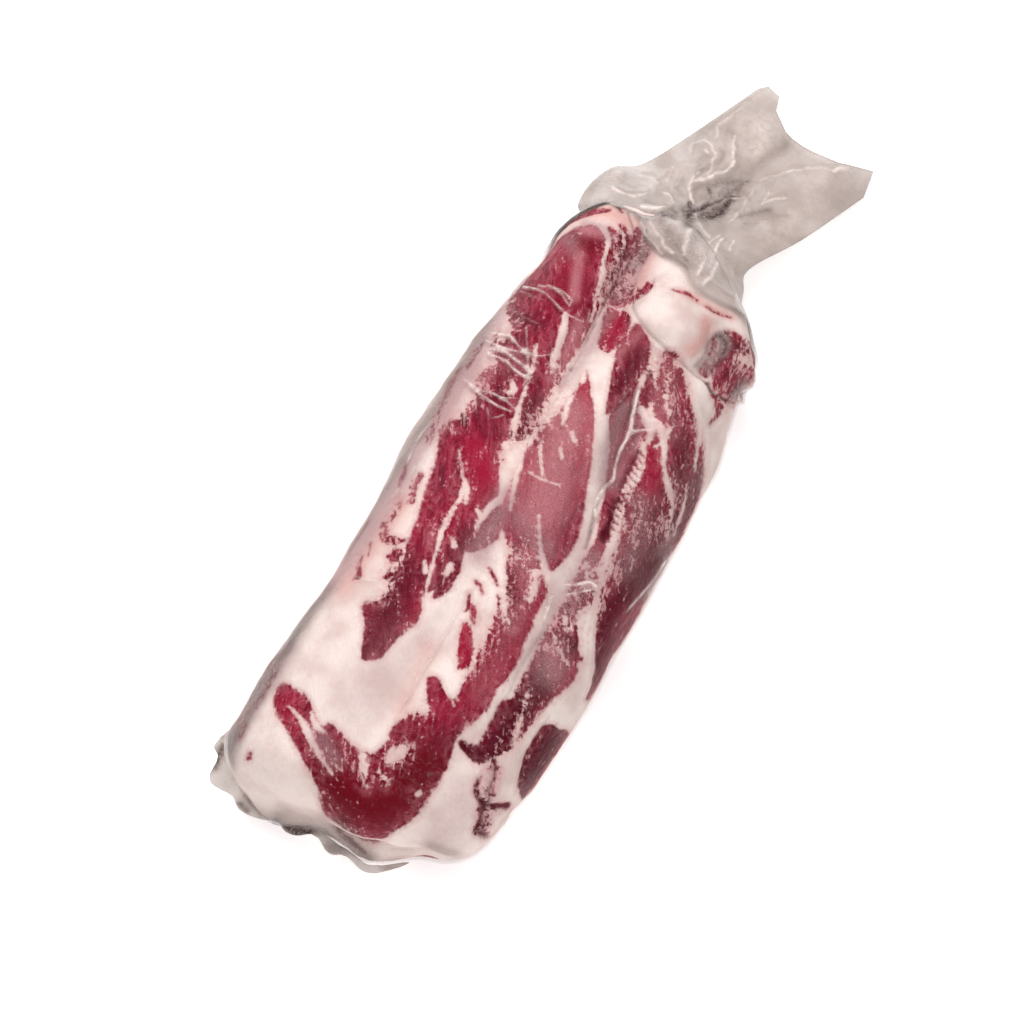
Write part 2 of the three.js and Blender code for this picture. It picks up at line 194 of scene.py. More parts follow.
# Bands of one tissue, laid on in this order
STREAKS = (
    Streak("band along the slab", FAT,
           ((-3, 80), (1.5, 68), (7.5, 55), (13.5, 44), (19, 33), (24, 22), (28, 9), (32, -3), (33, -20),
            (32.5, -40), (34.5, -56), (37, -70), (38.5, -80)),
           (7, 6, 5, 6, 6.5, 6.5, 6, 5.5, 3.5, 3.5, 4, 4, 3)),
    Streak("strip beside the lower lean", FAT, ((34, -78), (35, -90), (35, -103)), (3, 3.6, 4)),
    Streak("upper ribbed band", FAT, ((24, 70), (29, 63), (32, 56), (32, 50)), (1.5, 3.5, 3, 1)),
    Streak("ribbed band", FAT,
           ((31, 51), (34, 44), (35.5, 36), (36, 28), (37, 20), (39.5, 12), (42, 4), (43.5, -4), (45, -12),
            (48, -21), (51, -31), (55, -41), (60, -52), (63, -64), (63, -78)),
           (2, 4, 5, 5, 4.5, 4.5, 4.5, 5, 5.5, 4.5, 4, 4.5, 6, 7, 9)),
    Streak("outer line", FAT,
           ((33, 62), (40, 54), (45, 45), (51, 38), (57, 30), (62, 16)),
           (3, 3, 2, 3, 1.6, 1)),
    Streak("white edge below the knob", FAT,
           ((26, 95), (33, 92), (40, 86), (45, 79), (50, 70), (54, 62)),
           (2.5, 6, 8, 6, 3.5, 1.2)),
    Streak("line beside the edge", FAT, ((43, 84), (48, 72), (53, 62), (58, 50)), (1, 2, 1.6, 0.8)),
    Streak("outer fat", FAT, ((57, 82), (60, 72), (65, 56), (66, 44)), (9, 9, 4, 1)),
    Streak("second line in the dark lean", FAT, ((16, 88), (16, 80), (18, 70), (21, 60)), (2, 2.2, 1.6, 1)),
    Streak("pale head of the right muscle", FAT, ((14, 98), (15, 92), (19, 86), (22, 80)), (4, 4.5, 3, 1)),
    Streak("fleck by the head", FAT, ((22, 66), (27, 62), (30, 58)), (3, 5, 2)),
    Streak("line beside the dark muscle", FAT,
           ((-35, 72), (-31, 63), (-28, 53), (-26, 42), (-23, 32), (-20, 24), (-17, 20)),
           (1, 1.6, 1.6, 1.8, 3, 2.2, 2)),
    Streak("fork on the crease", FAT, ((-13, 76), (-12, 60), (-12, 44)), (2.2, 2.6, 1.2)),
    Streak("fork to the slab", FAT, ((-11, 64), (-8, 52), (-5, 42)), (2.5, 3.4, 1.5)),
    Streak("spot in the fork", FAT, ((-9, 68), (-8, 65)), (3.5, 3)),
    Streak("line in the slab", FAT, ((-14, 24), (-11, 14), (-8, 4), (-4, -6)), (1.2, 2.6, 2, 0.8)),
    Streak("thin line in the slab", FAT, ((-9, 30), (-6, 24), (-1, 17), (3, 13)), (0.6, 1.4, 1.2, 0.6)),
    Streak("fine line in the slab", FAT, ((-6, 14), (2, 13.5), (9, 15)), (0.5, 1, 0.5)),
    Streak("spot in the slab", FAT, ((1, 40), (4, 37)), (2, 2.2)),
    Streak("second spot in the slab", FAT, ((0, 31), (3, 27)), (1.4, 1.8)),
    Streak("lower line in the slab", FAT,
           ((8, -2), (14, -12), (20, -20), (27, -26), (32, -30)),
           (1, 1.6, 3.4, 4.5, 4)),
    Streak("finger of the lower line", FAT, ((20, -26), (23, -32), (24, -38)), (3, 3.4, 2.6)),
    Streak("line by the island", FAT,
           ((-38, 8), (-30, -2), (-26, -7), (-26, -17), (-24.5, -30), (-21.5, -40), (-18, -52),
            (-14.5, -60)),
           (0.6, 1.2, 3.4, 1.4, 2.8, 1.2, 1.6, 1.6)),
    Streak("joint of the lines", FAT, ((-26, -6), (-22.5, -12)), (3.2, 1.6)),
    Streak("spot by the lines", FAT, ((-24, -45), (-21, -49)), (1.4, 2.4)),
    Streak("notch of the slab", FAT, ((-17, -13), (-13, -15), (-12.5, -21)), (0.8, 2.6, 1)),
    Streak("pale arc", FAT,
           ((-57, 112), (-55, 124), (-51.5, 134), (-46, 141), (-39, 146), (-33, 149)),
           (1.4, 2.4, 2.4, 2.8, 4, 2)),
    Streak("red above the arc", LEAN, ((-58, 128), (-54, 138), (-48, 146), (-40, 152)), (2, 4.5, 4, 1.5)),
    Streak("upper red streak", LEAN, ((-50, 154), (-42, 157), (-34, 154)), (1, 2, 1)),
    Streak("lean right of the arc", LEAN,
           ((-35, 143), (-28, 139), (-26, 128), (-22, 118), (-20, 108)),
           (2.5, 6, 5, 3, 1.5)),
    Streak("dark fold above the arc", LEAN,
           ((-31, 147), (-26, 144), (-22, 138), (-20, 128), (-20, 118)),
           (2, 3.4, 4, 4, 2.4)),
    Streak("pale line by the fold", FAT,
           ((-30, 127), (-26, 121), (-23, 112), (-20, 104), (-18, 94)),
           (1, 2.8, 2.6, 2, 1)),
    Streak("silverskin on the left muscle", FAT,
           ((-31, 92), (-27, 84), (-25, 76), (-22, 66), (-20, 62)),
           (2, 4.5, 3.6, 4, 1.5)),
    Streak("pale patch at the left edge", FAT, ((-55, 78), (-52, 72), (-50, 66)), (3, 6.5, 5)),
    # painted highlight: fat colour laid where glare catches the left muscle
    Streak("glare in the left muscle", FAT, ((-35, 50), (-32, 46), (-33, 44)), (1.5, 4, 2.5)),
    Streak("streak at the left margin", LEAN, ((-57, 61), (-57.5, 52), (-56, 45)), (1, 1.8, 1)),
    Streak("lower streak at the left margin", LEAN,
           ((-59, 44), (-58, 32), (-55, 16), (-52, 4)),
           (1, 2, 1.6, 0.8)),
    Streak("slit in the left arm", FAT,
           ((-40, -128.5), (-33, -130.5), (-27, -134), (-21, -138), (-14, -142), (-8, -145)),
           (1, 1.8, 3.6, 2.6, 1.4, 0.8)),
    Streak("wedge in the arm", FAT, ((-2, -131), (1.5, -136.5), (5.5, -142)), (3.4, 3, 0.8)),
    Streak("left end's gap", FAT, ((-30, -126), (-25, -130), (-20, -131)), (1, 3.5, 1)),
    Streak("thin white line", FAT, ((7, -79), (12, -87), (20, -95)), (1.2, 1.8, 0.8)),
    Streak("second white line", FAT, ((12, -80), (16, -88), (20, -92)), (1.4, 2, 0.8)),
    Streak("dash in the lean", FAT, ((7, -134), (11, -135.5), (13, -137)), (0.8, 1, 0.6)),
    Streak("dot in the lean", FAT, ((26.6, -134.7), (27.2, -134)), (2.2, 2.2)),
    Streak("notch by the strip", FAT, ((3, -97), (8, -101), (12, -104)), (3, 3, 1)),
    Streak("upper dot", FAT, ((-17.5, -31), (-16.8, -32)), (2.2, 2.2)),
    Streak("lower dot", FAT, ((-13.5, -41), (-12.5, -45)), (3, 2.2)),
    Streak("red ring", LEAN,
           ((-47, -32), (-47.5, -39), (-45, -44), (-40, -43.5), (-37, -41)),
           (1.6, 2.6, 3.6, 2.8, 1.6)),
    Streak("red streak at the left", LEAN, ((-46.5, -11), (-46, -18), (-43.5, -24)), (2.4, 3.2, 2)),
    Streak("thin streak at the left", LEAN, ((-55, -9), (-53.5, -14), (-52.5, -20)), (1, 1.6, 0.8)),
    Streak("second thin streak", LEAN, ((-48, -25), (-47, -30)), (0.8, 1.2)),
    Streak("red dot at the left", LEAN, ((-47, -61.5), (-45.5, -64.5), (-46.5, -67)), (2.4, 3, 1)),
    Streak("line by the red dot", LEAN, ((-49, -56), (-48, -60)), (0.8, 1.2)),
    Streak("blush at the left", LEAN, ((-49, -49), (-47, -55)), (0.6, 1)),
    Streak("dark streak at the lower left", LEAN,
           ((-55, -106), (-55.6, -116), (-54.8, -128)),
           (1, 2.4, 1.4)),
    Streak("streak beside it", LEAN, ((-52.6, -119), (-52, -130), (-52.6, -138)), (0.8, 1.6, 1)),
    Streak("streak below it", LEAN, ((-54.6, -134), (-54, -141), (-52.6, -147)), (1.2, 2.2, 1)),
    Streak("end of the lower left streaks", LEAN, ((-51, -144), (-50, -150)), (1.2, 1.4)),
    Streak("dark streak at the left", LEAN, ((-55.4, -41), (-56, -52), (-55.4, -63)), (0.8, 1.8, 1)),
    # lean of the lower end, with painted shade where the undercut end lies in shadow
    Streak("dark strip at the lower end", LEAN, ((4, -162.6), (11, -164.8), (20, -166.6)), (1.4, 2.8, 1.6)),
    Streak("dot in the lower fat", LEAN, ((-42.5, -154), (-41.5, -156)), (2, 2)),
    Streak("dot at the lower edge", LEAN, ((-33.5, -171.5), (-31.5, -172.5)), (1.8, 1.8)),
    Streak("thin lean in the flame", LEAN, ((1, -34), (5, -36.5), (9, -39.5)), (0.8, 1.6, 0.8)),
    Streak("second lean in the flame", LEAN, ((-1, -42), (2, -43), (5, -46)), (0.8, 2, 0.8)),
    Streak("third lean in the flame", LEAN, ((0, -49), (2, -53), (2.5, -56)), (1.4, 1.8, 0.8)),
    Streak("fourth lean in the flame", LEAN, ((11, -43), (15, -49), (20, -54)), (0.8, 1.2, 0.6)),
    Streak("crack in the lower fold", LEAN,
           ((45, -117), (46.5, -122), (51, -125), (56, -124.5), (61, -121)),
           (2, 3, 2.6, 3, 3.6)),
    Streak("upper crack", LEAN, ((46, -107), (50, -112), (51, -117), (54, -122)), (1.8, 2.6, 1.2, 1.4)),
    Streak("lower crack", LEAN, ((52, -126), (55, -131), (56, -136), (60, -136)), (2.4, 5, 4.6, 2.6)),
    Streak("pit", LEAN, ((32.5, 21), (36, 21.5)), (2, 1.4)),
    Streak("second pit", LEAN, ((33, 13), (36, 11), (38, 7)), (3.4, 3, 2)),
    Streak("lower pit", LEAN, ((36, 4), (39, 0.5)), (4, 3.4)),
    Streak("dark gap by the ribs", LEAN, ((30.5, 46), (31.5, 36), (32, 28)), (1.6, 2.2, 1.6)),
    Streak("crescent", LEAN, ((55.5, -55), (56.5, -61), (54.5, -70)), (2, 3.6, 2)),
    Streak("red by the strip", LEAN, ((53, -49), (56, -51.5)), (1.5, 2.2)),
    Streak("lean by the knob", LEAN, ((-5, 124), (-6, 119), (-9, 113), (-10, 108)), (3, 3.4, 2.4, 3)),
    Streak("small triangle at the right", LEAN,
           ((48, 86.5), (52, 84), (54, 79), (53, 74)),
           (2, 3.6, 1.8, 0.8)),
    Streak("line at the top of the knob", LEAN, ((6, 127.5), (12, 129), (19, 128)), (0.8, 1.6, 0.6)),
    Streak("red line at the top of the knob", LEAN, ((24, 127), (29, 126), (36, 127)), (0.8, 1.4, 0.8)),
    Streak("streak in the right muscle", FAT, ((25, 88), (29, 78), (34, 70)), (0.8, 1.8, 0.8)),
    Streak("pale streak right of the ribs", FAT, ((38, 64), (39, 56), (36, 52)), (1.5, 2.4, 1)),
    Streak("line in the dark edge", FAT, ((58, 42), (62, 30), (64, 18)), (0.6, 1.4, 0.6)),
    Streak("pale line in the lower lean", FAT,
           ((43, -72), (46, -84), (50, -96), (54, -101)),
           (0.6, 1, 1.2, 1.6)),
    Streak("flecks above the lower lean", FAT, ((40, -48), (46, -52), (52, -56)), (1.6, 1.6, 1.2)),
    Streak("fleck in the mixed part", FAT, ((37, -12), (40, -17), (41, -22)), (2, 2, 1)),
    Streak("second fleck in the mixed part", FAT, ((40, -38), (43, -40), (47, -38)), (2.4, 3, 1)),
)

# Soft tones on the meat, as rows of a reach, a strength and a path
TINTS = {
    Tone.BRIGHT: strokes(
        (7, 0.75, (-45, 124), (-40, 112), (-34, 104)),
        (8, 1, (-33, 12), (-20, 3)),
        (4, 0.7, (-24, -12), (-22, -28)),
        (4.5, 1, (-7, 65), (3, 52), (9, 41), (14, 29), (19, 18)),
        (5, 0.7, (37, 50), (43, 42), (47, 32)),
        (5, 1, (6, -64), (12, -76)),
        (7, 0.6, (28, -40), (28, -62), (26, -80), (18, -98)),
        (5, 0.6, (-44, -126), (-30, -136)),
        (5, 0.4, (50, 97), (46, 92)),
        (5, 0.8, (-10, 100), (-7, 88)),
        (4, 0.9, (55, -58), (55, -68)),
        (4, 0.7, (51, 66), (58, 50)),
        (2.5, 0.6, (-45, -8), (-40, -24), (-36, -36)),
        (3, 0.9, (-17, -64), (-14, -74)),
    ),
    Tone.DEEP: strokes(
        (13, 1, (-12, -145), (5, -150), (18, -144), (22, -122)),
        (4.5, 0.8, (-46, 131), (-37, 130)),
        (5, 0.4, (-40, 108), (-38, 98)),
    ),
    Tone.DARK: strokes(
        (6, 0.9, (-21, 45), (-17, 29)),
        (5, 0.5, (-40, 53), (-36, 41)),
        (6, 0.4, (-35, 30), (-28, 24)),
        (6, 0.7, (-15, -26), (-11, -52)),
        (10, 0.75, (-28, -56), (-24, -92)),
        (8, 0.9, (62, 50), (63, 30), (62, 0), (57, -26), (66, -56)),
        (3, 1, (36, 117), (40, 113)),
        (3, 0.9, (34, 20), (36, 11), (38, 2)),
        (6, 0.75, (8, 90), (9, 70)),
        (4, 0.6, (-50, 80), (-38, 82)),
        (9, 1, (63, -86), (63, -112)),
        (8, 1.2, (46, -68), (44, -106), (34, -108)),
        (5, 1.2, (-55, -104), (-54, -150)),
        # painted shade: the undercut lower end in shadow
        (3, 1.3, (4, -163), (20, -167)),
        (3, 1.2, (-56, -40), (-56, -64)),
        (5, 0.9, (43, -44), (50, -47)),
        (5, 0.7, (46, 62), (53, 50), (54, 34)),
        (5, 1, (46, -110), (48, -121), (54, -125), (57, -136)),
        (4, 0.9, (-28, 143), (-21, 132), (-20, 118)),
        (2.5, 0.5, (30, 50), (31, 36), (32, 26)),
        (4, 0.8, (38, 117), (44, 114), (53, 118)),
        (5, 0.6, (11, -30), (15, -42)),
        (3, 0.6, (24, 76), (23, 72)),
    ),
    Tone.DUSKY: strokes(
        (6, 0.6, (46, 26), (50, 12), (48, 0)),
        (4, 0.45, (48, -112), (55, -130)),
        (4, 0.9, (-54, -108), (-53, -150)),
        (12, 0.3, (-12, -80), (-15, -116)),
        (6, 1, (-8, -2), (-6, -30)),
        (7, 0.85, (3, -7), (18, -15)),
        (6, 0.35, (12, 22), (18, 4)),
        (5.5, 1.25, (18, 62), (19, 51), (22, 41), (26, 28)),
        (3, 0.8, (26, 60), (28, 45)),
        (6, 0.85, (44, 25), (50, 14), (52, 2), (52, -6)),
        (3, 0.7, (63, 18), (64, 8)),
        (7, 1, (38, -10), (40, -34)),
        (4, 0.9, (-20, -134), (-11, -139)),
        (8, 1, (42, -54), (48, -62)),
        # painted shadow of the fold by the seam, left of the knob
        (5, 1, (-18, 148), (-15, 134), (-15, 112)),
        (2.5, 0.7, (-13, 102), (-13, 60)),
        (3, 0.8, (-46, 139), (-38, 141), (-33, 138)),
        (4, 0.7, (-48, 127), (-44, 123)),
        (4, 1, (39, 112), (40, 98)),
        (3, 0.9, (58, 100), (58, 92)),
        (5, 0.4, (22, -42), (24, -50)),
        (5, 1, (-60, 80), (-57, 60), (-54, 44), (-54, 16), (-54, -10), (-53, -50), (-55, -80)),
        (8, 0.45, (42, -125), (44, -145)),
    ),
    Tone.VEIL: strokes(
        (3, 0.55, (-47, -12), (-46, -24), (-47, -42)),
        (10.5, 1, (-4, 48), (0, 30), (4, 14), (8, 0)),
        (4, 0.35, (40, -52), (46, -57), (50, -62)),
        (4, 0.6, (2, 56), (10, 42), (17, 22)),
        (3, 0.5, (20, 60), (23, 44), (27, 32)),
        (5, 0.3, (24, -50), (26, -70), (27, -84)),
        (3.6, 0.95, (-22, 91), (-20, 76), (-18.5, 60)),
        (3, 0.9, (-46, 136), (-38, 139)),
        (4, 0.9, (-14, 24), (-12, 8), (-9, -2)),
        (4, 0.7, (-48, 60), (-48, 28)),
        (5, 0.6, (-48, 61), (-34, 60)),
        # painted highlight: a pale pink streak of sheen down the left muscle
        (2.5, 0.9, (-40, 122), (-36, 112), (-31, 101)),
        (7, 0.5, (22, 90), (30, 74), (38, 62)),
        (6, 0.7, (12, -24), (20, -30)),
        (3.5, 0.7, (18, -50), (25, -54)),
        (3, 0.6, (0, 84), (3, 98)),
    ),
    Tone.BLUSH: strokes(
        (3.5, 1, (27, 120), (30, 110), (28, 102)),
        (4, 1, (-12, 136), (-10, 118)),
        (7, 0.8, (-48, -28), (-50, -72)),
        (4, 0.5, (-3, -78), (2, -108)),
        (2.5, 0.8, (10, 128), (36, 127)),
        (5, 0.9, (-50, 144), (-38, 150), (-28, 150)),
        (4, 0.8, (-54, 50), (-53, 30), (-52, 12)),
        (5, 0.5, (22, 92), (34, 80)),
    ),
    # grime along the edges, and painted shade where the lower end and the fold by the knob lie in shadow
    Tone.GRIME_AND_SHADE: strokes(
        (2.6, 0.8, (-61, 84), (-60, 62), (-58, 0), (-57, -60)),
        (4, 1.1, (-56, -76), (-55, -110), (-53, -150), (-48, -164)),
        (4, 1, (-30, -174), (-10, -170), (8, -166), (22, -168)),
        (3, 0.9, (37, 115), (38, 104), (37, 97)),
        (1.6, 0.5, (65, 12), (66, -15)),
        (3, 0.5, (42, -152), (52, -150)),
    ),
    Tone.FLECKED: strokes(
        (7, 0.9, (44, 24), (50, 8), (56, 20)),
        (3, 0.8, (-54, -108), (-53, -150)),
        (4, 0.6, (-47, -14), (-47, -40), (-40, -44)),
        (9, 0.75, (20, 92), (30, 78), (38, 68)),
        (6, 0.3, (50, 50), (56, 30), (58, 6)),
        (3.5, 1, (38, 116), (40, 98)),
        (5, 1, (-17, 146), (-14, 126), (-13, 110)),
        (4, 0.8, (-56, 60), (-54, 30), (-53, 8)),
        (7, 0.7, (-50, 80), (-48, 50), (-46, 20)),
        (6, 0.5, (-38, 64), (-26, 58)),
        (8, 0.8, (48, 20), (52, 2), (44, -20), (44, -50)),
        (7, 0.7, (10, -22), (18, -34), (20, -76)),
        (7, 0.6, (-34, -50), (-30, -66), (-22, -74)),
        (7, 1, (50, 114), (50, 98), (55, 90)),
        (6, 0.45, (44, -70), (47, -100)),
        (5, 0.8, (-20, 66), (-14, 52), (-20, 14)),
        (8, 0.4, (-36, -8), (-22, -20)),
        (4, 0.9, (-28, 140), (-22, 124), (-18, 104)),
        (7, 0.5, (-10, -136), (14, -134), (8, -104)),
        (5, 1, (48, -112), (55, -132)),
    ),
}

# Creases between the muscles and over the fat, in millimetres of height; the deeper ones also darken the meat
# with painted shade
CREASES = strokes(
    (0.75, -1.15, (-31, 155), (-24, 148), (-18, 138), (-17, 118), (-16.5, 104), (-15, 84), (-14.5, 68)),
    (0.9, -0.9, (-14.5, 68), (-13, 46), (-14, 30), (-18, 25)),
    (0.9, -1.0, (-14, 140), (-12, 124), (-10, 112)),
    (0.9, -1.15, (-5, 128), (-4, 120), (-7, 112), (-3, 106.5), (5, 102), (14, 98.5), (22, 96), (33, 93),
     (42, 91)),
    (0.8, -0.8, (0, 127), (10, 128), (20, 127), (33, 126)),
    (1.2, -0.6, (30, 118), (33, 108), (31, 99)),
    (1.1, -1.0, (34, 96), (35, 104), (34, 112), (38, 118)),
    (1.1, -0.9, (41, 94), (42, 102), (42, 112)),
    (1.3, -1.8, (43, 91), (48, 87.5), (56, 88)),
    (1.5, -1.3, (17, 72), (22, 51), (26, 34), (27, 16), (30, 6), (33, -6)),
    (1.1, -0.8, (12, 57), (15, 66), (14, 78)),
    (1.2, -1.2, (46, -106), (50, -112), (51, -117), (54, -122)),
    (1.5, -1.8, (45, -117), (46.5, -122), (51, -125), (56, -124.5), (61, -121)),
    (1.5, -1.6, (52, -126), (55, -131), (56, -136), (60, -137)),
    (1, -0.9, (0.5, -44), (1, -75), (1.5, -108)),
    (2, -1.6, (33, 21), (34, 14), (36, 10), (37, 2)),
    (1.2, -1, (31, 46), (31.5, 36), (32, 28)),
    (1.4, -0.9, (57, -80), (57, -96), (61, -114)),
    (1.3, -1, (-57, 62), (-57, 46)),
    (0.9, -0.5, (-48, -124), (-40, -121), (-30, -124)),
    (1.1, -0.7, (38, -40), (36.5, -60), (38, -82)),
    (1.2, -0.5, (-52, 20), (-46, 4), (-41, -14), (-37, -30)),
)

# Soft swellings and hollows of the meat
SWELLINGS = strokes(
    (12, 1.6, (2, 114), (20, 112)),
    (10, 1.2, (-42, 118), (-36, 104)),
    (5, 0.8, (-20, 44), (-18, 32)),
    (9, 0.8, (-32, 10), (-22, 4)),
    (4, 0.8, (-7, 98), (-6, 90)),
    (6, 0.7, (8, 92), (9, 72)),
    (9, -0.8, (-40, 68), (-38, 42)),
    (12, 0.6, (-30, -150), (-44, -140)),
)

# Where the tight film stands up in thin ridges, whose tops carry a painted highlight
WRINKLES = strokes(
    (0.95, 0.8, (-47, 98), (-41, 99.5), (-36, 98.5), (-31, 95.5), (-31, 98), (-37, 100), (-44, 100)),
    (0.95, 0.8, (-53, 94), (-45, 96), (-37, 93.5), (-30, 91), (-22, 91)),
    (0.95, 0.6, (-56, 91), (-50, 91.5), (-42, 92)),
    (0.95, 0.6, (-57, 88), (-53, 86), (-55, 83)),
    (1.1, 0.5, (-54, 81), (-44, 80), (-34, 81)),
    (1.1, 0.8, (-53, 66), (-46, 68.5), (-40, 66), (-34, 65)),
    (0.95, 0.8, (-54, 61), (-46, 62), (-38, 64), (-30, 66), (-25, 70)),
    (1.1, 0.9, (-50, 59), (-44, 60.5), (-36, 59), (-29, 57)),
    (1.1, 0.9, (-49, 56), (-42, 56.5), (-35, 54.5), (-29, 53.5)),
    (1.1, 0.6, (-54, 58), (-50, 56)),
    (0.95, 0.8, (-52, 39), (-45, 38), (-38, 39.5), (-30, 38.5), (-26, 37)),
    (0.95, 0.9, (-48, 37.5), (-42, 36), (-34, 35), (-27, 35)),
    (0.95, 0.7, (-34, 39), (-30, 41.5), (-25, 43)),
    (0.95, 0.5, (-50, 44), (-44, 43), (-36, 42)),
    (0.95, 0.7, (-42, 76), (-36, 66), (-31, 58), (-28, 50)),
    (0.85, 0.5, (-50, 74), (-44, 66)),
    (0.9, 0.7, (-44, 24), (-41, 19)),
    (1.1, 0.6, (-37, 32), (-33, 28), (-29, 32)),
    (1.1, 0.5, (-50, 14), (-42, 15), (-36, 13)),
    (0.95, 0.6, (-14, 46), (-10, 56), (-9, 66)),
    (0.85, 0.5, (-9, 30), (-6, 22), (0, 15), (4, 13)),
    (0.85, 0.5, (-4, 32), (4, 20), (10, 14)),
    (0.95, 0.6, (0.5, -46), (0.5, -75), (1.5, -106)),
    (1.1, 1.1, (17, 72), (20, 62), (23.5, 51), (24, 42), (26, 34), (28, 28), (26.5, 22), (27, 14),
     (29.5, 9)),
    (1.2, 0.9, (23.5, 51), (26, 54), (31, 57.5)),
    (1.1, 1, (33, -26), (38, -23), (42, -19.5), (45, -20)),
    (0.95, 0.9, (36.5, -29.5), (41, -25), (45.5, -21.5)),
    (0.9, 0.9, (31, -33), (32, -38), (33, -43)),
    (0.95, 0.5, (34, -44), (35.5, -55), (38, -66)),
    (1, 0.7, (9, -25), (12, -24.5), (15, -23)),
    (1, 0.7, (61, -24), (64, -8), (65, 10)),
    (1.2, 0.6, (-44, -66), (-38, -64), (-33, -61)),
    (0.75, 0.5, (33, 36), (37, 34)),
    (0.75, 0.5, (32, 33), (37, 30)),
    (0.75, 0.5, (33, 30), (38, 27)),
    (0.75, 0.5, (33, 26), (38, 24)),
    (0.75, 0.5, (36, 18), (41, 15)),
    (0.75, 0.5, (38, 13), (43, 9)),
    (1.1, 0.6, (-54, 16), (-55, 4), (-53, -10)),
    (1.1, 0.5, (-50, 0), (-49, -14), (-51, -30)),
    (1, 0.3, (-52, -88), (-53, -110), (-51, -130), (-48, -146)),
    (0.9, 0.4, (-50, -100), (-44, -108), (-36, -112)),
    (1.1, 0.5, (52, -100), (56, -108), (59, -116)),
    (1.1, 0.4, (30, 92), (34, 90), (40, 88)),
    (0.95, 0.6, (-22, 98), (-19, 90), (-17, 80)),
)


def ribs() -> tuple[Point, ...]:
    """Where the ribs of the ribbed band start, down its left side."""
    return tuple((31.6 + 0.35 * i, 47 - 3.1 * i) for i in range(15))


RIB_GAPS = tuple(
    Streak("rib gap", LEAN, ((x, y), (x + 2.2, y - 1.6), (x + 4.2, y - 2.2)), (1.1, 0.8, 0.3))
    for x, y in ribs()
)
RIB_CREASES = strokes(*((0.9, -0.8, (x - 0.5, y), (x + 2.2, y - 1.6), (x + 4.2, y - 2)) for x, y in ribs()))
# Corrections to the meat's outline: a place, how far it reaches and which way the surface moves
SHAPING = (
    ((62, 105.5, 25), 11, (-6.5, 0, 0)),
    ((53, 118, 36), 9, (1.8, 1.2, 0.4)),
    ((-28, -164, 14), 13, (-0.5, -4.8, 0)),
    ((41, -145, 20), 12, (-1.5, 3.4, 0)),
    ((30, -154, 18), 8, (0, 2.5, 0)),
    ((60.6, -80, 10), 12, (1.6, 0, 0)),
    ((58, -118, 10), 13, (-1.8, 0, 0)),
    ((54, -133, 10), 10, (-1.4, 0.5, 0)),
    ((-58, -118, 42), 16, (-0.9, 0, 0)),
    ((59.5, 70, 20), 18, (2.6, 0, 0)),
)

# Folds of the loose film, over the meat's end and along the bag's tail
FOLDS = strokes(
    (2, 1.5, (-18, 214), (-18, 222), (-14, 231), (-13, 238)),
    (2.4, 2, (-9, 215), (-4, 208), (0, 201), (-1, 196), (-5, 191)),
    (2, 1.6, (-14, 188), (-10, 197), (-7, 203), (-10, 209)),
    (1.6, 1.2, (-20, 210), (-23, 205), (-22, 199)),
    (8, 1.5, (0, 224), (7, 219)),
    (3, -1.8, (16, 227), (11, 212), (7, 200), (3, 190)),
    (2.4, 1.6, (47, 226), (36, 219), (25, 211), (16, 198)),
    (2, 1.4, (28, 197), (22, 190), (17, 184)),
    (1.6, 1.2, (-25, 184), (-27, 176)),
    (1.4, 1.2, (-20, 183), (-19, 176)),
    (1.6, 1.6, (-14, 199), (-15, 190), (-12, 181), (-8, 174)),
    (7, 2.5, (-48, 174), (-44, 171)),
    (1.8, 1.2, (-35, 176), (-31, 177), (-27, 173), (-29, 169)),
    (1.8, 1.5, (-25, 170), (-21, 172), (-16, 168), (-18, 163)),
    (1.7, 1.6, (-43, 162), (-36, 163), (-29, 167)),
    (1.6, -1.6, (-41, 155), (-33, 157), (-24, 158), (-17, 161), (-13, 166)),
    (1.3, 1.1, (-19, 154), (-12, 150), (-6, 146), (-1, 143)),
    (1.4, 1.2, (-25, 152), (-16, 146), (-6, 142), (6, 140)),
    (1.5, 1.6, (8, 152), (11, 146), (12, 140)),
    (1.5, 1.2, (17, 148), (18, 140), (16, 134)),
    (1.4, 1.2, (14, 162), (14, 152)),
    (2, 1.2, (-1, 158), (3, 150), (7, 145)),
    (2, 1, (24, 160), (26, 148), (32, 136)),
    (2.4, -1.6, (-12, 163), (-4, 170), (5, 174), (8, 182), (9, 192)),
    (1.6, 1.4, (-18, 160), (-9, 166), (-3, 175), (1, 186)),
    (1.3, 1.4, (-3, 178), (6, 181), (14, 187)),
    (1.2, 1.3, (13, 178), (14, 192)),
    (1.8, -1.2, (20, 176), (26, 186), (33, 190)),
)
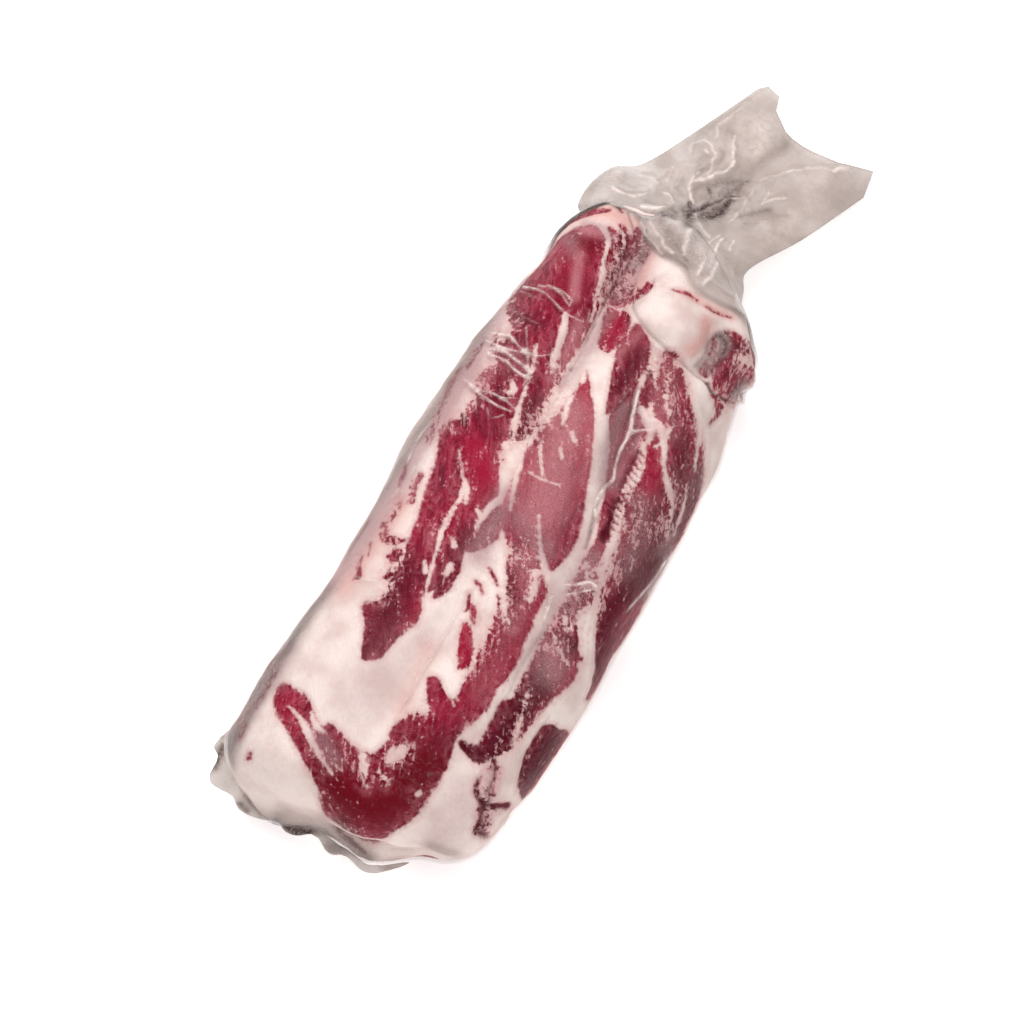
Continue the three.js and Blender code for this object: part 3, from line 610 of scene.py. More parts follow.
# Painted highlights where light catches the folds of the loose film
LIGHTS = strokes(
    (0.65, 0.6, (-12, 234), (-15, 225), (-16.5, 218), (-15, 212)),
    (6, 0.5, (0, 229), (4, 222), (5, 214)),
    (0.86, 0.95, (-8, 217), (-4, 209), (-1, 203), (-3, 197), (-7, 191), (-12, 185)),
    (0.65, 0.9, (-19, 208), (-15, 207), (-11, 204), (-10, 200)),
    (0.58, 0.8, (-19, 209), (-23, 203), (-21, 199)),
    (0.86, 0.9, (-16, 203), (-14, 202)),
    (0.79, 0.7, (-10, 199), (-9, 192), (-13, 184)),
    (1, 1, (42, 222.5), (44, 225), (47, 226)),
    (0.65, 0.65, (22, 210), (32, 218), (42, 223)),
    (0.5, 0.4, (14, 200), (21, 208), (30, 217), (36, 221)),
    (0.65, 0.7, (-25, 187), (-24, 178)),
    (0.65, 0.8, (-19, 184), (-19, 178)),
    (0.65, 0.9, (-13, 190), (-14, 183), (-11, 177), (-7, 173)),
    (0.65, 0.8, (21, 189), (25, 194), (29, 197)),
    (0.5, 0.7, (21, 196), (21, 190)),
    (0.5, 0.6, (14, 193), (14, 182), (12, 172)),
    (0.5, 0.7, (7, 184), (12, 188)),
    (0.86, 1, (-44, 162), (-38, 162.5), (-33, 164), (-29, 167.5)),
    (0.86, 0.6, (-36, 175), (-31, 176.5), (-27, 175)),
    (0.72, 0.7, (-25, 171), (-19, 172), (-16, 168), (-19, 163), (-27, 160)),
    (2.5, 0.5, (-46, 172), (-45, 168)),
    (0.79, 0.6, (-3, 168), (2, 163), (8, 160)),
    (0.72, 1, (13, 162), (14, 153)),
    (0.58, 0.8, (18, 164), (19, 159)),
    (0.58, 0.6, (9, 157), (11, 163)),
    (0.79, 0.6, (-2, 158), (0, 151), (2, 145)),
    (0.72, 0.8, (9, 152), (12, 145), (12, 139)),
    (0.65, 0.7, (17, 149), (18, 141), (17, 135)),
    (0.65, 0.6, (-19, 153), (-11, 148), (-3, 143)),
    (0.58, 0.5, (-24, 151), (-16, 145), (-6, 141)),
    (3, 0.35, (26, 180), (31, 176)),
    (4, 0.25, (33, 172), (38, 190)),
    (0.72, 0.4, (-30, 156), (-42, 154)),
    (6, 0.22, (-10, 230), (-4, 216)),
    (5, 0.28, (-25, 180), (-20, 190)),
    (5, 0.18, (26, 206), (40, 216)),
    (4, 0.28, (-40, 170), (-30, 172)),
    (4, 0.28, (12, 150), (15, 160)),
    (3.5, 0.3, (-8, 196), (-3, 204)),
)
# Dark marks in the loose film: painted shade in its creases and hollows, and the juice stain in its crumple
SHADES = strokes(
    (9, 0.33, (-46, 170), (-38, 164)),
    (7, 0.2, (-2, 190), (3, 180), (0, 168)),
    (5, 0.2, (-20, 224), (-24, 200)),
    (8, 0.22, (50, 226), (52, 206)),
    (3.2, 0.75, (-9, 168), (-4, 165), (1, 171), (6, 178)),
    (2.4, 0.6, (4, 184), (7, 192), (9, 197)),
    (2, 0.5, (-6, 186), (0, 190)),
    (1.2, 0.9, (-18, 160), (-10, 162)),
    (2, 1, (-16, 161), (-12, 163.5)),
    (2.5, 1, (-8, 172), (-6, 167), (-4, 161)),
    (1.8, 0.9, (-5, 169), (-1, 176)),
    (2.5, 0.9, (2, 169), (6, 174), (7, 184)),
    (1.4, 0.9, (-5, 184), (-3, 182)),
    (2.2, 0.5, (-3, 189), (3, 192), (9, 198)),
    (1.2, 0.8, (0, 176), (5, 184), (10, 187)),
    (1.4, 0.4, (-11, 180), (-5, 189), (2, 195)),
    (2, 0.5, (18, 180), (25, 187)),
    (1.3, 0.4, (14, 176), (20, 182)),
    (5.5, 0.35, (0, 172), (3, 180), (5, 190)),
    (5, 0.35, (-15, 156), (-5, 150), (2, 156)),
    (1, 0.5, (-28, 157), (-20, 159), (-14, 164)),
    (2.5, 0.25, (16, 226), (11, 212), (8, 200)),
    (2, 0.25, (-13, 230), (-12, 222), (-11, 214)),
    (1.3, 0.42, (-12, 153), (-2, 148), (6, 141)),
    (1.3, 0.35, (-45, 166), (-36, 166)),
    (1.3, 0.35, (-10, 207), (-7, 200), (-13, 191)),
)
# Dark marks under the film at the edges: stains of juice, and painted shade where the lower end and the folds
# by the knob lie in shadow
FILM_SOIL_AND_SHADE = strokes(
    (1.8, 0.8, (-53, -156), (-51.5, -165)),
    (2.8, 1, (-17, -169.5), (-10, -171.5), (-4, -170)),
    (1.4, 0.6, (-34, -173), (-30, -174)),
    (1, 0.4, (65, 6), (66, -12)),
    (1.8, 0.9, (36, 115), (40, 113), (41, 108)),
    (1.6, 0.8, (57, 98), (56, 91)),
    (1.4, 0.7, (-19, 148), (-15, 138), (-16, 128)),
    (1, 0.5, (-55, 100), (-56.5, 88)),
)
# How far the seal's edge waves outwards, or inwards where negative
SEAL_WAVES = strokes(
    (4, 5, (-55, -150), (-54, -155)),
    (3.5, 2.5, (-50, -168), (-48, -169)),
    (3.5, -2, (-40, -173), (-39, -173)),
    (4, 1.2, (-31, -174), (-29, -174)),
    (3.5, -2.2, (-18, -174), (-17, -174)),
    (5, -4.5, (-1, -174), (1, -174)),
    (4, -2.5, (14, -172), (15, -172)),
    (4, 1.5, (24, -171), (26, -170)),
)
# The closed area where no meat lies close under the film, from the line where the meat ends
MEAT_ENDS_UNDER_FILM = (
    (-70, 152), (-56, 163), (-48, 157), (-40, 154), (-30, 155), (-20, 147), (-10, 141), (4, 139), (9, 135),
    (16, 131), (26, 130), (36, 130), (44, 128), (56, 122), (70, 112), (80, 200), (-80, 200),
)
# fmt: on


def srgb(red: float, green: float, blue: float) -> tuple[float, float, float, float]:
    """A colour in the linear values that shaders use.

    Args:
        red: its red as the eye reads it, 0 to 255.
        green: its green.
        blue: its blue.

    Returns:
        The colour, with a full alpha.
    """

    def linear(value: float) -> float:
        """One channel in linear light."""
        share = value / 255
        return share / 12.92 if share <= 0.04045 else ((share + 0.055) / 1.055) ** 2.4

    return linear(red), linear(green), linear(blue), 1.0


class Amount:
    """A number on a shader graph that takes part in Python expressions."""

    def __init__(self, graph: "Graph", socket: bpy.types.NodeSocket) -> None:
        """Wraps an output socket of the graph."""
        self.graph = graph
        self.socket = socket

    def maths(self, operation: str, *values: "Amount | float") -> "Amount":
        """The result of a Math node.

        Args:
            operation: the node's operation.
            values: its inputs, in order.

        Returns:
            The node's output.
        """
        return self.graph.amount("ShaderNodeMath", {"operation": operation}, dict(enumerate(values)), 0)

    def __add__(self, other: "Amount | float") -> "Amount":
        """self + other."""
        return self.maths("ADD", self, other)

    def __radd__(self, other: float) -> "Amount":
        """other + self."""
        return self.maths("ADD", other, self)

    def __sub__(self, other: "Amount | float") -> "Amount":
        """self - other."""
        return self.maths("SUBTRACT", self, other)

    def __rsub__(self, other: float) -> "Amount":
        """other - self."""
        return self.maths("SUBTRACT", other, self)

    def __mul__(self, other: "Amount | float") -> "Amount":
        """self * other."""
        return self.maths("MULTIPLY", self, other)

    def __rmul__(self, other: float) -> "Amount":
        """other * self."""
        return self.maths("MULTIPLY", other, self)

    def size(self) -> "Amount":
        """Its value without its sign."""
        return self.maths("ABSOLUTE", self)

    def rise(self, low: float, high: float) -> "Amount":
        """0 below low, 1 above high, and a smooth step between."""
        settings = {"interpolation_type": "SMOOTHSTEP", "clamp": True}
        inputs = {"Value": self, "From Min": low, "From Max": high}
        return self.graph.amount("ShaderNodeMapRange", settings, inputs, "Result")

    def at_most(self, limit: "Amount | float") -> "Amount":
        """The smaller of the two."""
        return self.maths("MINIMUM", self, limit)

    def at_least(self, limit: "Amount | float") -> "Amount":
        """The larger of the two."""
        return self.maths("MAXIMUM", self, limit)


class Graph:
    """The node graph of one material."""

    def __init__(self, name: str) -> None:
        """Makes an empty material of this name."""
        self.material = bpy.data.materials.new(name)
        self.material.use_nodes = True
        self.tree = self.material.node_tree
        self.tree.nodes.clear()

    def node(self, kind: str, settings: dict, inputs: dict) -> bpy.types.Node:
        """Adds a node.

        Args:
            kind: the node's type.
            settings: its properties, set first.
            inputs: its sockets by name or number, each with a value, a socket or an Amount.

        Returns:
            The new node.
        """
        made = self.tree.nodes.new(kind)
        for key, value in settings.items():
            setattr(made, key, value)
        for key, value in inputs.items():
            if isinstance(value, Amount):
                self.tree.links.new(value.socket, made.inputs[key])
            elif isinstance(value, bpy.types.NodeSocket):
                self.tree.links.new(value, made.inputs[key])
            else:
                made.inputs[key].default_value = value
        return made

    def amount(self, kind: str, settings: dict, inputs: dict, output: str | int) -> Amount:
        """A node's output as an Amount."""
        return Amount(self, self.node(kind, settings, inputs).outputs[output])

    def stored(self, name: str) -> Amount:
        """The number that the mesh carries under this name."""
        return self.amount("ShaderNodeAttribute", {"attribute_name": name}, {}, "Fac")

    def place(self, name: str) -> bpy.types.NodeSocket:
        """The vector that the mesh carries under this name."""
        return self.node("ShaderNodeAttribute", {"attribute_name": name}, {}).outputs["Vector"]

    def speckle(
        self, place: bpy.types.NodeSocket, scale: float, detail: float = 3, warp: float = 0
    ) -> Amount:
        """Noise between 0 and 1 at a place.

        Args:
            place: the coordinates.
            scale: how many features there are to a unit.
            detail: the number of finer layers.
            warp: how much the pattern bends itself.

        Returns:
            The noise.
        """
        inputs = {"Vector": place, "Scale": scale, "Detail": detail, "Distortion": warp}
        return self.amount("ShaderNodeTexNoise", {}, inputs, "Fac")

    def blend(self, share: Amount | float, first: object, second: object) -> bpy.types.NodeSocket:
        """Mixes two colours, each a value or a socket, by the second's share."""
        return self.node("ShaderNodeMix", {"data_type": "RGBA"}, {0: share, 6: first, 7: second}).outputs[2]

    def bump(self, height: Amount, strength: float) -> bpy.types.NodeSocket:
        """A normal bent by a height in millimetres."""
        inputs = {"Height": height, "Strength": strength, "Distance": MM}
        return self.node("ShaderNodeBump", {}, inputs).outputs["Normal"]

    def finish(self, shader: bpy.types.Node) -> bpy.types.Material:
        """Ends the graph in a shader and returns the material."""
        self.node("ShaderNodeOutputMaterial", {}, {"Surface": shader.outputs[0]})
        return self.material


@dataclass(frozen=True)
class MeatFinish:
    """Raw beef: red lean with grain and marbling, and cream fat."""

    lean: tuple = srgb(130, 17, 43)
    lean_pale: tuple = srgb(168, 60, 82)
    bright: tuple = srgb(162, 24, 56)
    deep: tuple = srgb(106, 2, 20)
    dark: tuple = srgb(78, 10, 27)
    dusky: tuple = srgb(151, 111, 115)
    veil: tuple = srgb(184, 115, 122)
    marbling: tuple = srgb(220, 172, 172)
    fat: tuple = srgb(233, 217, 211)
    fat_shade: tuple = srgb(212, 190, 184)
    thin_fat: tuple = srgb(206, 160, 158)
    dusky_fat: tuple = srgb(176, 144, 146)
    blush: tuple = srgb(214, 160, 152)
    grime_and_shade: tuple = srgb(136, 119, 116)
    specular: float = 0.07
    smoothest: float = 0.42
    relief: float = 0.9

    def build(self) -> bpy.types.Material:
        """Makes the material.

        Returns:
            The material, which reads the mesh's tissue, tones, grain and painted crease shade.
        """
        g = Graph("raw_beef")
        grain = g.place("grain")
        spot = g.place("spot")
        fibre = g.speckle(grain, 0.9, 3, 0.7)
        fine = g.speckle(grain, 3.0, 3, 0.2)
        broad = g.speckle(spot, 0.06, 3)
        mottle = g.speckle(spot, 0.55, 4, 0.6)
        grit = g.speckle(spot, 1.6, 2)
        flecked = g.stored("flecked")
        tissue = g.stored("tissue") * (1 - flecked * 0.45)
        patchy = g.speckle(spot, 0.2, 4, 1.6)
        edge = tissue + (fibre - 0.5) * (1.2 + flecked * 2.4) + (patchy - 0.5) * (1.0 + flecked * 8.0)
        edge = edge + (mottle - 0.5) * (1.6 + flecked * 1.6)
        is_fat = edge.rise(-0.7, 0.7)
        near_edge = 1 - (tissue * -1).rise(0, 6)
        vein = fibre * 0.5 + mottle * 0.5 + near_edge * 0.05 + flecked * 0.1 + (broad - 0.5) * 0.2
        vein = vein.rise(0.6, 0.7)

        lean = g.blend((fibre * 0.6 + patchy * 0.4).rise(0.36, 0.66), self.lean, self.lean_pale)
        streaky = g.speckle(grain, 0.32, 4, 1.6)
        lean = g.blend(streaky.rise(0.5, 0.66) * (0.5 + flecked * 0.4), lean, self.dark)
        lean = g.blend((1 - streaky).rise(0.54, 0.68) * 0.4, lean, self.veil)
        lean = g.blend((g.stored("bright") * 0.8).at_most(1), lean, self.bright)
        lean = g.blend((g.stored("deep") * (0.75 + fine * 0.4)).at_most(1), lean, self.deep)
        lean = g.blend((g.stored("dark") * (0.45 + mottle)).at_most(1), lean, self.dark)
        lean = g.blend((g.stored("dusky") * (0.5 + mottle * 0.8)).at_most(1), lean, self.dusky)
        lean = g.blend((g.stored("veil") * (0.62 + fibre * 0.8)).at_most(0.92), lean, self.veil)
        lean = g.blend((grit - 0.42).at_least(0) * (1.6 + flecked * 1.6), lean, self.dark)
        lean = g.blend(near_edge * patchy.rise(0.4, 0.7) * 0.35, lean, self.veil)
        lean = g.blend(vein * 0.6, lean, self.marbling)

        fat = g.blend(broad.rise(0.35, 0.7), self.fat, self.fat_shade)
        fat = g.blend(fine.rise(0.45, 0.8) * 0.25, fat, self.blush)
        thin = 1 - (edge + (patchy - 0.5) * 2).rise(0.3, 2.6 + flecked * 2)
        fat = g.blend(thin * (0.45 + flecked * 0.4), fat, self.thin_fat)
        fat = g.blend((g.stored("blush") * (0.3 + mottle)).at_most(1), fat, self.blush)
        fat = g.blend((g.stored("dusky") * (0.4 + mottle)).at_most(0.8), fat, self.dusky_fat)
        fat = g.blend((g.stored("grime_and_shade") * (0.45 + mottle)).at_most(1), fat, self.grime_and_shade)

        # painted shade: the creases darken towards the dark lean colour
        hollow = g.stored("hollow")
        colour = g.blend((hollow * 0.9).at_most(0.85), g.blend(is_fat, lean, fat), self.dark)
        rough = (1 - is_fat) * 0.8 + flecked * 0.6 + 0.25
        height = is_fat * 0.3 + rough * (fibre * 0.5 + mottle * 0.45 + grit * 0.25) + patchy * 0.2
        shader = g.node(
            "ShaderNodeBsdfPrincipled",
            {},
            {
                "Base Color": colour,
                "Roughness": self.smoothest + is_fat * 0.16 + mottle * 0.1,
                "Specular IOR Level": self.specular,
                "Normal": g.bump(height, self.relief),
            },
        )
        return g.finish(shader)


@dataclass(frozen=True)
class FilmFinish:
    """Clear glossy film that turns hazy grey where it lifts off the meat, with painted highlights on its
    wrinkles and folds and painted shade in its creases.
    """

    name: str
    haze: tuple = srgb(207, 191, 184)
    haze_shade: tuple = srgb(184, 167, 158)
    soil: tuple = srgb(74, 54, 52)
    ridge: tuple = srgb(244, 226, 220)
    least_seen: float = 0.009
    most_seen: float = 0.97
    smoothest: float = 0.07
    specular: float = 0.6
    ripple: float = 0.35

    def lines(self, g: Graph, scale: float, width: float) -> Amount:
        """Thin wandering wrinkles.

        Args:
            g: the material's graph.
            scale: how many to a millimetre.
            width: how wide they are, in the noise's own range.

        Returns:
            1 on a wrinkle and 0 away from it.
        """
        wander = g.speckle(g.place("spot"), scale, 2, 1.2) - 0.5
        return 1 - wander.size().rise(0, width)

    def build(self) -> bpy.types.Material:
        """Makes the material.

        Returns:
            The material, which reads the mesh's haze, its painted highlights, and its soil with painted
            shade.
        """
        g = Graph(self.name)
        spot = g.place("spot")
        broad = g.speckle(spot, 0.05, 3, 0.5)
        ripple = g.speckle(spot, 0.16, 3, 1.2)
        fine = g.speckle(spot, 0.6, 3, 0.8)
        crinkle = self.lines(g, 0.09, 0.022) * 0.8 + self.lines(g, 0.2, 0.03)
        crinkled = g.stored("crinkled")
        haze = g.stored("haze").at_most(1) * (0.86 + broad * 0.2).at_most(1)
        broken = g.speckle(spot, 0.3, 2).rise(0.3, 0.62) * 0.55 + 0.45
        # painted highlights: the stored highlight strokes and the crinkle lines lay a light colour on the
        # film
        ridge = (g.stored("ridge") * broken + crinkle * crinkled * 0.3).at_most(1)
        # soil and painted shade: the stored dark strokes lay a dark colour on the film
        soil = (g.stored("soil") * (0.72 + fine.rise(0.35, 0.55) * 0.5)).at_most(1)
        colour = g.blend(broad.rise(0.35, 0.65), self.haze, self.haze_shade)
        colour = g.blend(soil, colour, self.soil)
        colour = g.blend(ridge, colour, self.ridge)
        height = ripple * 1.6 + fine * (0.3 + crinkled * 0.5) + crinkle * crinkled * 0.8
        edge_on = g.amount("ShaderNodeFresnel", {}, {"IOR": 1.4}, 0)
        film = g.node(
            "ShaderNodeBsdfPrincipled",
            {},
            {
                "Base Color": colour,
                "Metallic": 1 - (haze + ridge + soil).rise(0.02, 0.3),
                "Roughness": self.smoothest + haze * 0.14,
                "Specular IOR Level": self.specular,
                "Normal": g.bump(height, self.ripple),
            },
        )
        clear = g.node("ShaderNodeBsdfTransparent", {}, {})
        seen = self.least_seen + (edge_on - 0.03).at_least(0) * 0.26 + haze * 0.86 + ridge * 0.6 + soil * 0.65
        inputs = {0: seen.at_most(self.most_seen), 1: clear.outputs[0], 2: film.outputs[0]}
        mixed = g.node("ShaderNodeMixShader", {}, inputs)
        return g.finish(mixed)


@dataclass(frozen=True)
class FloorFinish:
    """A plain white studio floor."""

    colour: tuple = (0.9, 0.9, 0.9, 1.0)
    glow: float = 0.42

    def build(self) -> bpy.types.Material:
        """Makes the material."""
        g = Graph("floor")
        inputs = {
            "Base Color": self.colour,
            "Roughness": 0.9,
            "Emission Color": (1.0, 1.0, 1.0, 1.0),
            "Emission Strength": self.glow,
        }
        return g.finish(g.node("ShaderNodeBsdfPrincipled", {}, inputs))


def added(name: str, data: bpy.types.ID) -> bpy.types.Object:
    """A new object of the scene.

    Args:
        name: its name.
        data: its mesh, lamp or camera.

    Returns:
        The object.
    """
    made = bpy.data.objects.new(name, data)
    bpy.context.scene.collection.objects.link(made)
    return made


@dataclass(frozen=True)
class Viewpoint:
    """Where the photograph was taken from, in millimetres and degrees."""

    azimuth: float = 29.5
    elevation: float = 65.0
    distance: float = 815.0
    lens: float = 65.0
    sensor: float = 36.0
    target: Place = (-6.5, 0.0, 33.0)

    def back(self) -> np.ndarray:
        """The direction from the target to the camera."""
        a, e = math.radians(self.azimuth), math.radians(self.elevation)
        return np.array([math.sin(a) * math.cos(e), -math.cos(a) * math.cos(e), math.sin(e)])

    def place(self) -> np.ndarray:
        """The camera's place."""
        return np.array(self.target) + self.back() * self.distance

    def marked(self, points: np.ndarray) -> np.ndarray:
        """Where the camera sees points on the level plane of the markings.

        Args:
            points: N by 3 places.

        Returns:
            N by 2 places, x and y.
        """
        eye = self.place()
        share = (eye[2] - MARKED_HEIGHT) / (eye[2] - points[:, 2])
        return eye[:2] + (points[:, :2] - eye[:2]) * share[:, None]

    def make_camera(self) -> None:
        """Adds the camera and makes it the scene's."""
        data = bpy.data.cameras.new("camera")
        data.lens = self.lens
        data.sensor_width = self.sensor
        camera = added("camera", data)
        camera.location = Vector(self.place() * MM)
        camera.rotation_euler = Vector(-self.back()).to_track_quat("-Z", "Y").to_euler()
        bpy.context.scene.camera = camera


VIEW = Viewpoint()


def rounded(points: tuple[Point, ...], closed: bool, steps: int = 5) -> np.ndarray:
    """A smooth curve through points.

    Args:
        points: the points that it passes through.
        closed: whether it comes back to its start.
        steps: how many pieces each span gets.

    Returns:
        The curve's points.
    """
    given = np.array(points, float)
    count = len(given)
    if not closed and count < 3:
        return given
    spans = count if closed else count - 1
    share = (np.arange(steps) / steps)[:, None]
    made = []
    for i in range(spans):
        around = [(i + k) % count if closed else min(max(i + k, 0), count - 1) for k in (-1, 0, 1, 2)]
        a, b, c, d = given[around]
        bend = (2 * a - 5 * b + 4 * c - d) * share**2
        made.append(0.5 * (2 * b + (c - a) * share + bend + (3 * b - a - 3 * c + d) * share**3))
    if not closed:
        made.append(given[-1:])
    return np.concatenate(made)


def distance_to_span(
    places: np.ndarray, start: np.ndarray, end: np.ndarray
) -> tuple[np.ndarray, np.ndarray]:
    """How far places are from a straight span.

    Args:
        places: N by 2 places.
        start: the span's first point.
        end: its last point.

    Returns:
        The distances, and how far along the span each nearest point is, from 0 to 1.
    """
    along = end - start
    share = np.clip(((places - start) @ along) / max(along @ along, TINY), 0, 1)
    away = places - start - share[:, None] * along
    return np.hypot(away[:, 0], away[:, 1]), share


def near(places: np.ndarray, curve: np.ndarray, margin: float) -> np.ndarray:
    """Which places lie within a margin of a curve's box."""
    low, high = curve.min(0) - margin, curve.max(0) + margin
    return ((places > low) & (places < high)).all(1)


def depth_in_patch(places: np.ndarray, outline: tuple[Point, ...]) -> np.ndarray:
    """How deep places lie inside a closed outline.

    Args:
        places: N by 2 places.
        outline: the outline's points.

    Returns:
        The depths in millimetres, negative outside.
    """
    curve = rounded(outline, True, 4)
    depth = np.full(len(places), -FAR)
    chosen = near(places, curve, FAR)
    close = places[chosen]
    nearest = np.full(len(close), np.inf)
    inside = np.zeros(len(close), bool)
    for a, b in zip(curve, np.roll(curve, -1, 0)):
        nearest = np.minimum(nearest, distance_to_span(close, a, b)[0])
        crosses = (a[1] > close[:, 1]) != (b[1] > close[:, 1])
        rise = b[1] - a[1] if abs(b[1] - a[1]) > TINY else TINY
        inside ^= crosses & (close[:, 0] < (b[0] - a[0]) * (close[:, 1] - a[1]) / rise + a[0])
    depth[chosen] = np.where(inside, nearest, -nearest)
    return np.clip(depth, -FAR, FAR)


def depth_in_streak(
    places: np.ndarray, path: tuple[Point, ...], widths: tuple[float, ...]
) -> np.ndarray:
    """How deep places lie inside a band along a path.

    Args:
        places: N by 2 places.
        path: the band's middle.
        widths: its widths, spread evenly from start to end.

    Returns:
        The depths in millimetres, negative outside.
    """
    curve = rounded(path, False)
    spread = np.linspace(0, len(widths) - 1, len(curve))
    half = np.interp(spread, np.arange(len(widths)), widths) / 2
    depth = np.full(len(places), -FAR)
    chosen = near(places, curve, FAR)
    close = places[chosen]
    best = np.full(len(close), -FAR)
    for i in range(len(curve) - 1):
        away, share = distance_to_span(close, curve[i], curve[i + 1])
        best = np.maximum(best, half[i] + (half[i + 1] - half[i]) * share - away)
    depth[chosen] = best
    return np.clip(depth, -FAR, FAR)


def closeness(places: np.ndarray, stroke: Stroke, power: float) -> np.ndarray:
    """How near places are to a stroke's path.

    Args:
        places: N by 2 places.
        stroke: the stroke.
        power: how round its top is, from SHARP to ROUND.

    Returns:
        1 on the path, fading to 0 over the stroke's reach.
    """
    curve = rounded(stroke.path, False)
    found = np.zeros(len(places))
    chosen = near(places, curve, stroke.reach * 3)
    close = places[chosen]
    away = np.full(len(close), np.inf)
    for i in range(len(curve) - 1):
        away = np.minimum(away, distance_to_span(close, curve[i], curve[i + 1])[0])
    found[chosen] = np.exp(-((away / stroke.reach) ** power))
    return found


def relief_of(places: np.ndarray, folds: tuple[Stroke, ...], power: float = ROUND) -> np.ndarray:
    """The height that folds add together.

    Args:
        places: N by 2 places.
        folds: the folds.
        power: how round their tops are.

    Returns:
        The height at each place.
    """
    height = np.zeros(len(places))
    for fold in folds:
        height += fold.strength * closeness(places, fold, power)
    return height


def strongest(places: np.ndarray, tones: tuple[Stroke, ...], power: float = BLUNT) -> np.ndarray:
    """The strongest of some tones.

    Args:
        places: N by 2 places.
        tones: the tones.
        power: how round their tops are.

    Returns:
        The strength at each place.
    """
    found = np.zeros(len(places))
    for tone in tones:
        found = np.maximum(found, tone.strength * closeness(places, tone, power))
    return found


def wavered(places: np.ndarray) -> np.ndarray:
    """Moves places a little by smooth noise, so that strokes laid on them wander.

    Args:
        places: N by 2 places.

    Returns:
        The moved places.
    """
    p = np.concatenate([places, np.zeros((len(places), 1))], 1)
    aside = 0.9 * lumps(p, 5, 1.0) + 0.4 * lumps(p, 2, 3.0)
    return places + np.stack([aside, 0.9 * lumps(p, 5, 7.0)], 1)


def shaped(points: np.ndarray) -> np.ndarray:
    """How the corrections to the outline move each point.

    Args:
        points: N by 3 places.

    Returns:
        N by 3 moves.
    """
    moved = np.zeros(points.shape)
    for place, reach, move in SHAPING:
        away = np.linalg.norm(points - place, axis=1)
        moved += np.exp(-((away / reach) ** 2))[:, None] * move
    return moved


def smooth_step(values: np.ndarray, low: float, high: float) -> np.ndarray:
    """0 below low, 1 above high, and a smooth step between."""
    share = np.clip((values - low) / (high - low), 0, 1)
    return share * share * (3 - 2 * share)


def lumps(points: np.ndarray, size: float, offset: float = 0.0) -> np.ndarray:
    """Smooth noise from about -1 to 1 at each point, with features of one size."""
    shift = Vector((offset, offset * 1.7, -offset))
    return np.array([noise.noise(Vector(p) / size + shift) for p in points])


@dataclass
class Skin:
    """A mesh's points and outward normals, in millimetres."""

    mesh: bpy.types.Mesh
    points: np.ndarray
    normals: np.ndarray

    @classmethod
    def read(cls, mesh: bpy.types.Mesh) -> "Skin":
        """Reads a mesh's points and normals."""
        count = len(mesh.vertices)
        points, normals = np.empty(count * 3), np.empty(count * 3)
        mesh.vertices.foreach_get("co", points)
        mesh.vertex_normals.foreach_get("vector", normals)
        return cls(mesh, points.reshape(-1, 3) / MM, normals.reshape(-1, 3))

    def facing(self) -> np.ndarray:
        """How far each point faces the camera, 0 for not at all and 1 for well in view."""
        away = VIEW.place() - self.points
        away /= np.linalg.norm(away, axis=1)[:, None]
        return smooth_step((self.normals * away).sum(1), FACING_FROM, FACING_WELL)

    def write(self) -> None:
        """Puts the points back on the mesh."""
        self.mesh.vertices.foreach_set("co", (self.points * MM).ravel())
        self.mesh.update()

    def store(self, name: str, values: np.ndarray) -> None:
        """Gives the mesh an attribute.

        Args:
            name: its name.
            values: a number or a vector to a point.
        """
        kind, key = ("FLOAT", "value") if values.ndim == 1 else ("FLOAT_VECTOR", "vector")
        made = self.mesh.attributes.new(name, kind, "POINT")
        made.data.foreach_set(key, values.astype(np.float32).ravel())


def drop_crumbs(mesh: bpy.types.Mesh) -> None:
    """Removes the loose specks of a mesh.

    Args:
        mesh: the mesh, which is changed.
    """
    work = bmesh.new()
    work.from_mesh(mesh)
    waiting = set(work.verts)
    while waiting:
        group, edge = set(), [next(iter(waiting))]
        while edge:
            vertex = edge.pop()
            if vertex in waiting:
                waiting.discard(vertex)
                group.add(vertex)
                edge.extend(link.other_vert(vertex) for link in vertex.link_edges)
        if len(group) < CRUMB:
            bmesh.ops.delete(work, geom=list(group), context="VERTS")
    work.to_mesh(mesh)
    work.free()


def fine_copy(node: str, name: str, voxel: float, smoothing: int) -> bpy.types.Object:
    """A smooth, even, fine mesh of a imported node.

    Args:
        node: the node's name.
        name: the new object's name.
        voxel: the size of its faces in millimetres.
        smoothing: how many times it is smoothed.

    Returns:
        The new object.
    """
    piece = added(name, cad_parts[node].data.copy())
    weld = piece.modifiers.new("weld", "WELD")
    weld.merge_threshold = 0.01 * MM
    remesh = piece.modifiers.new("remesh", "REMESH")
    remesh.mode = "VOXEL"
    remesh.voxel_size = voxel * MM
    soften = piece.modifiers.new("soften", "SMOOTH")
    soften.factor = 0.5
    soften.iterations = smoothing
    ready = piece.evaluated_get(bpy.context.evaluated_depsgraph_get())
    mesh = bpy.data.meshes.new_from_object(ready)
    piece.modifiers.clear()
    piece.data = mesh
    drop_crumbs(mesh)
    mesh.materials.clear()
    mesh.shade_smooth()
    return piece


def store_places(skin: Skin) -> None:
    """Gives a mesh its places: spot in millimetres, and grain, which is long along the meat's fibres.

    Args:
        skin: the mesh.
    """
    p = skin.points
    warp = 5 * lumps(p, 38, 9.0)
    x, y = FIBRES
    along = p[:, 0] * x + p[:, 1] * y
    across = p[:, 0] * -y + p[:, 1] * x + warp
    skin.store("grain", np.stack([along, across, p[:, 2] + warp], 1) / GRAIN_SIZE)
    skin.store("spot", p)


def store_film(skin: Skin, **numbers: np.ndarray | float) -> None:
    """Gives a film's mesh the numbers and places that its finish reads.

    Args:
        skin: the mesh.
        numbers: its haze, painted highlight, soil with painted shade, and crinkled, each for every point or
            one for all.
    """
    for name, values in numbers.items():
        skin.store(name, np.broadcast_to(values, len(skin.points)))
    store_places(skin)


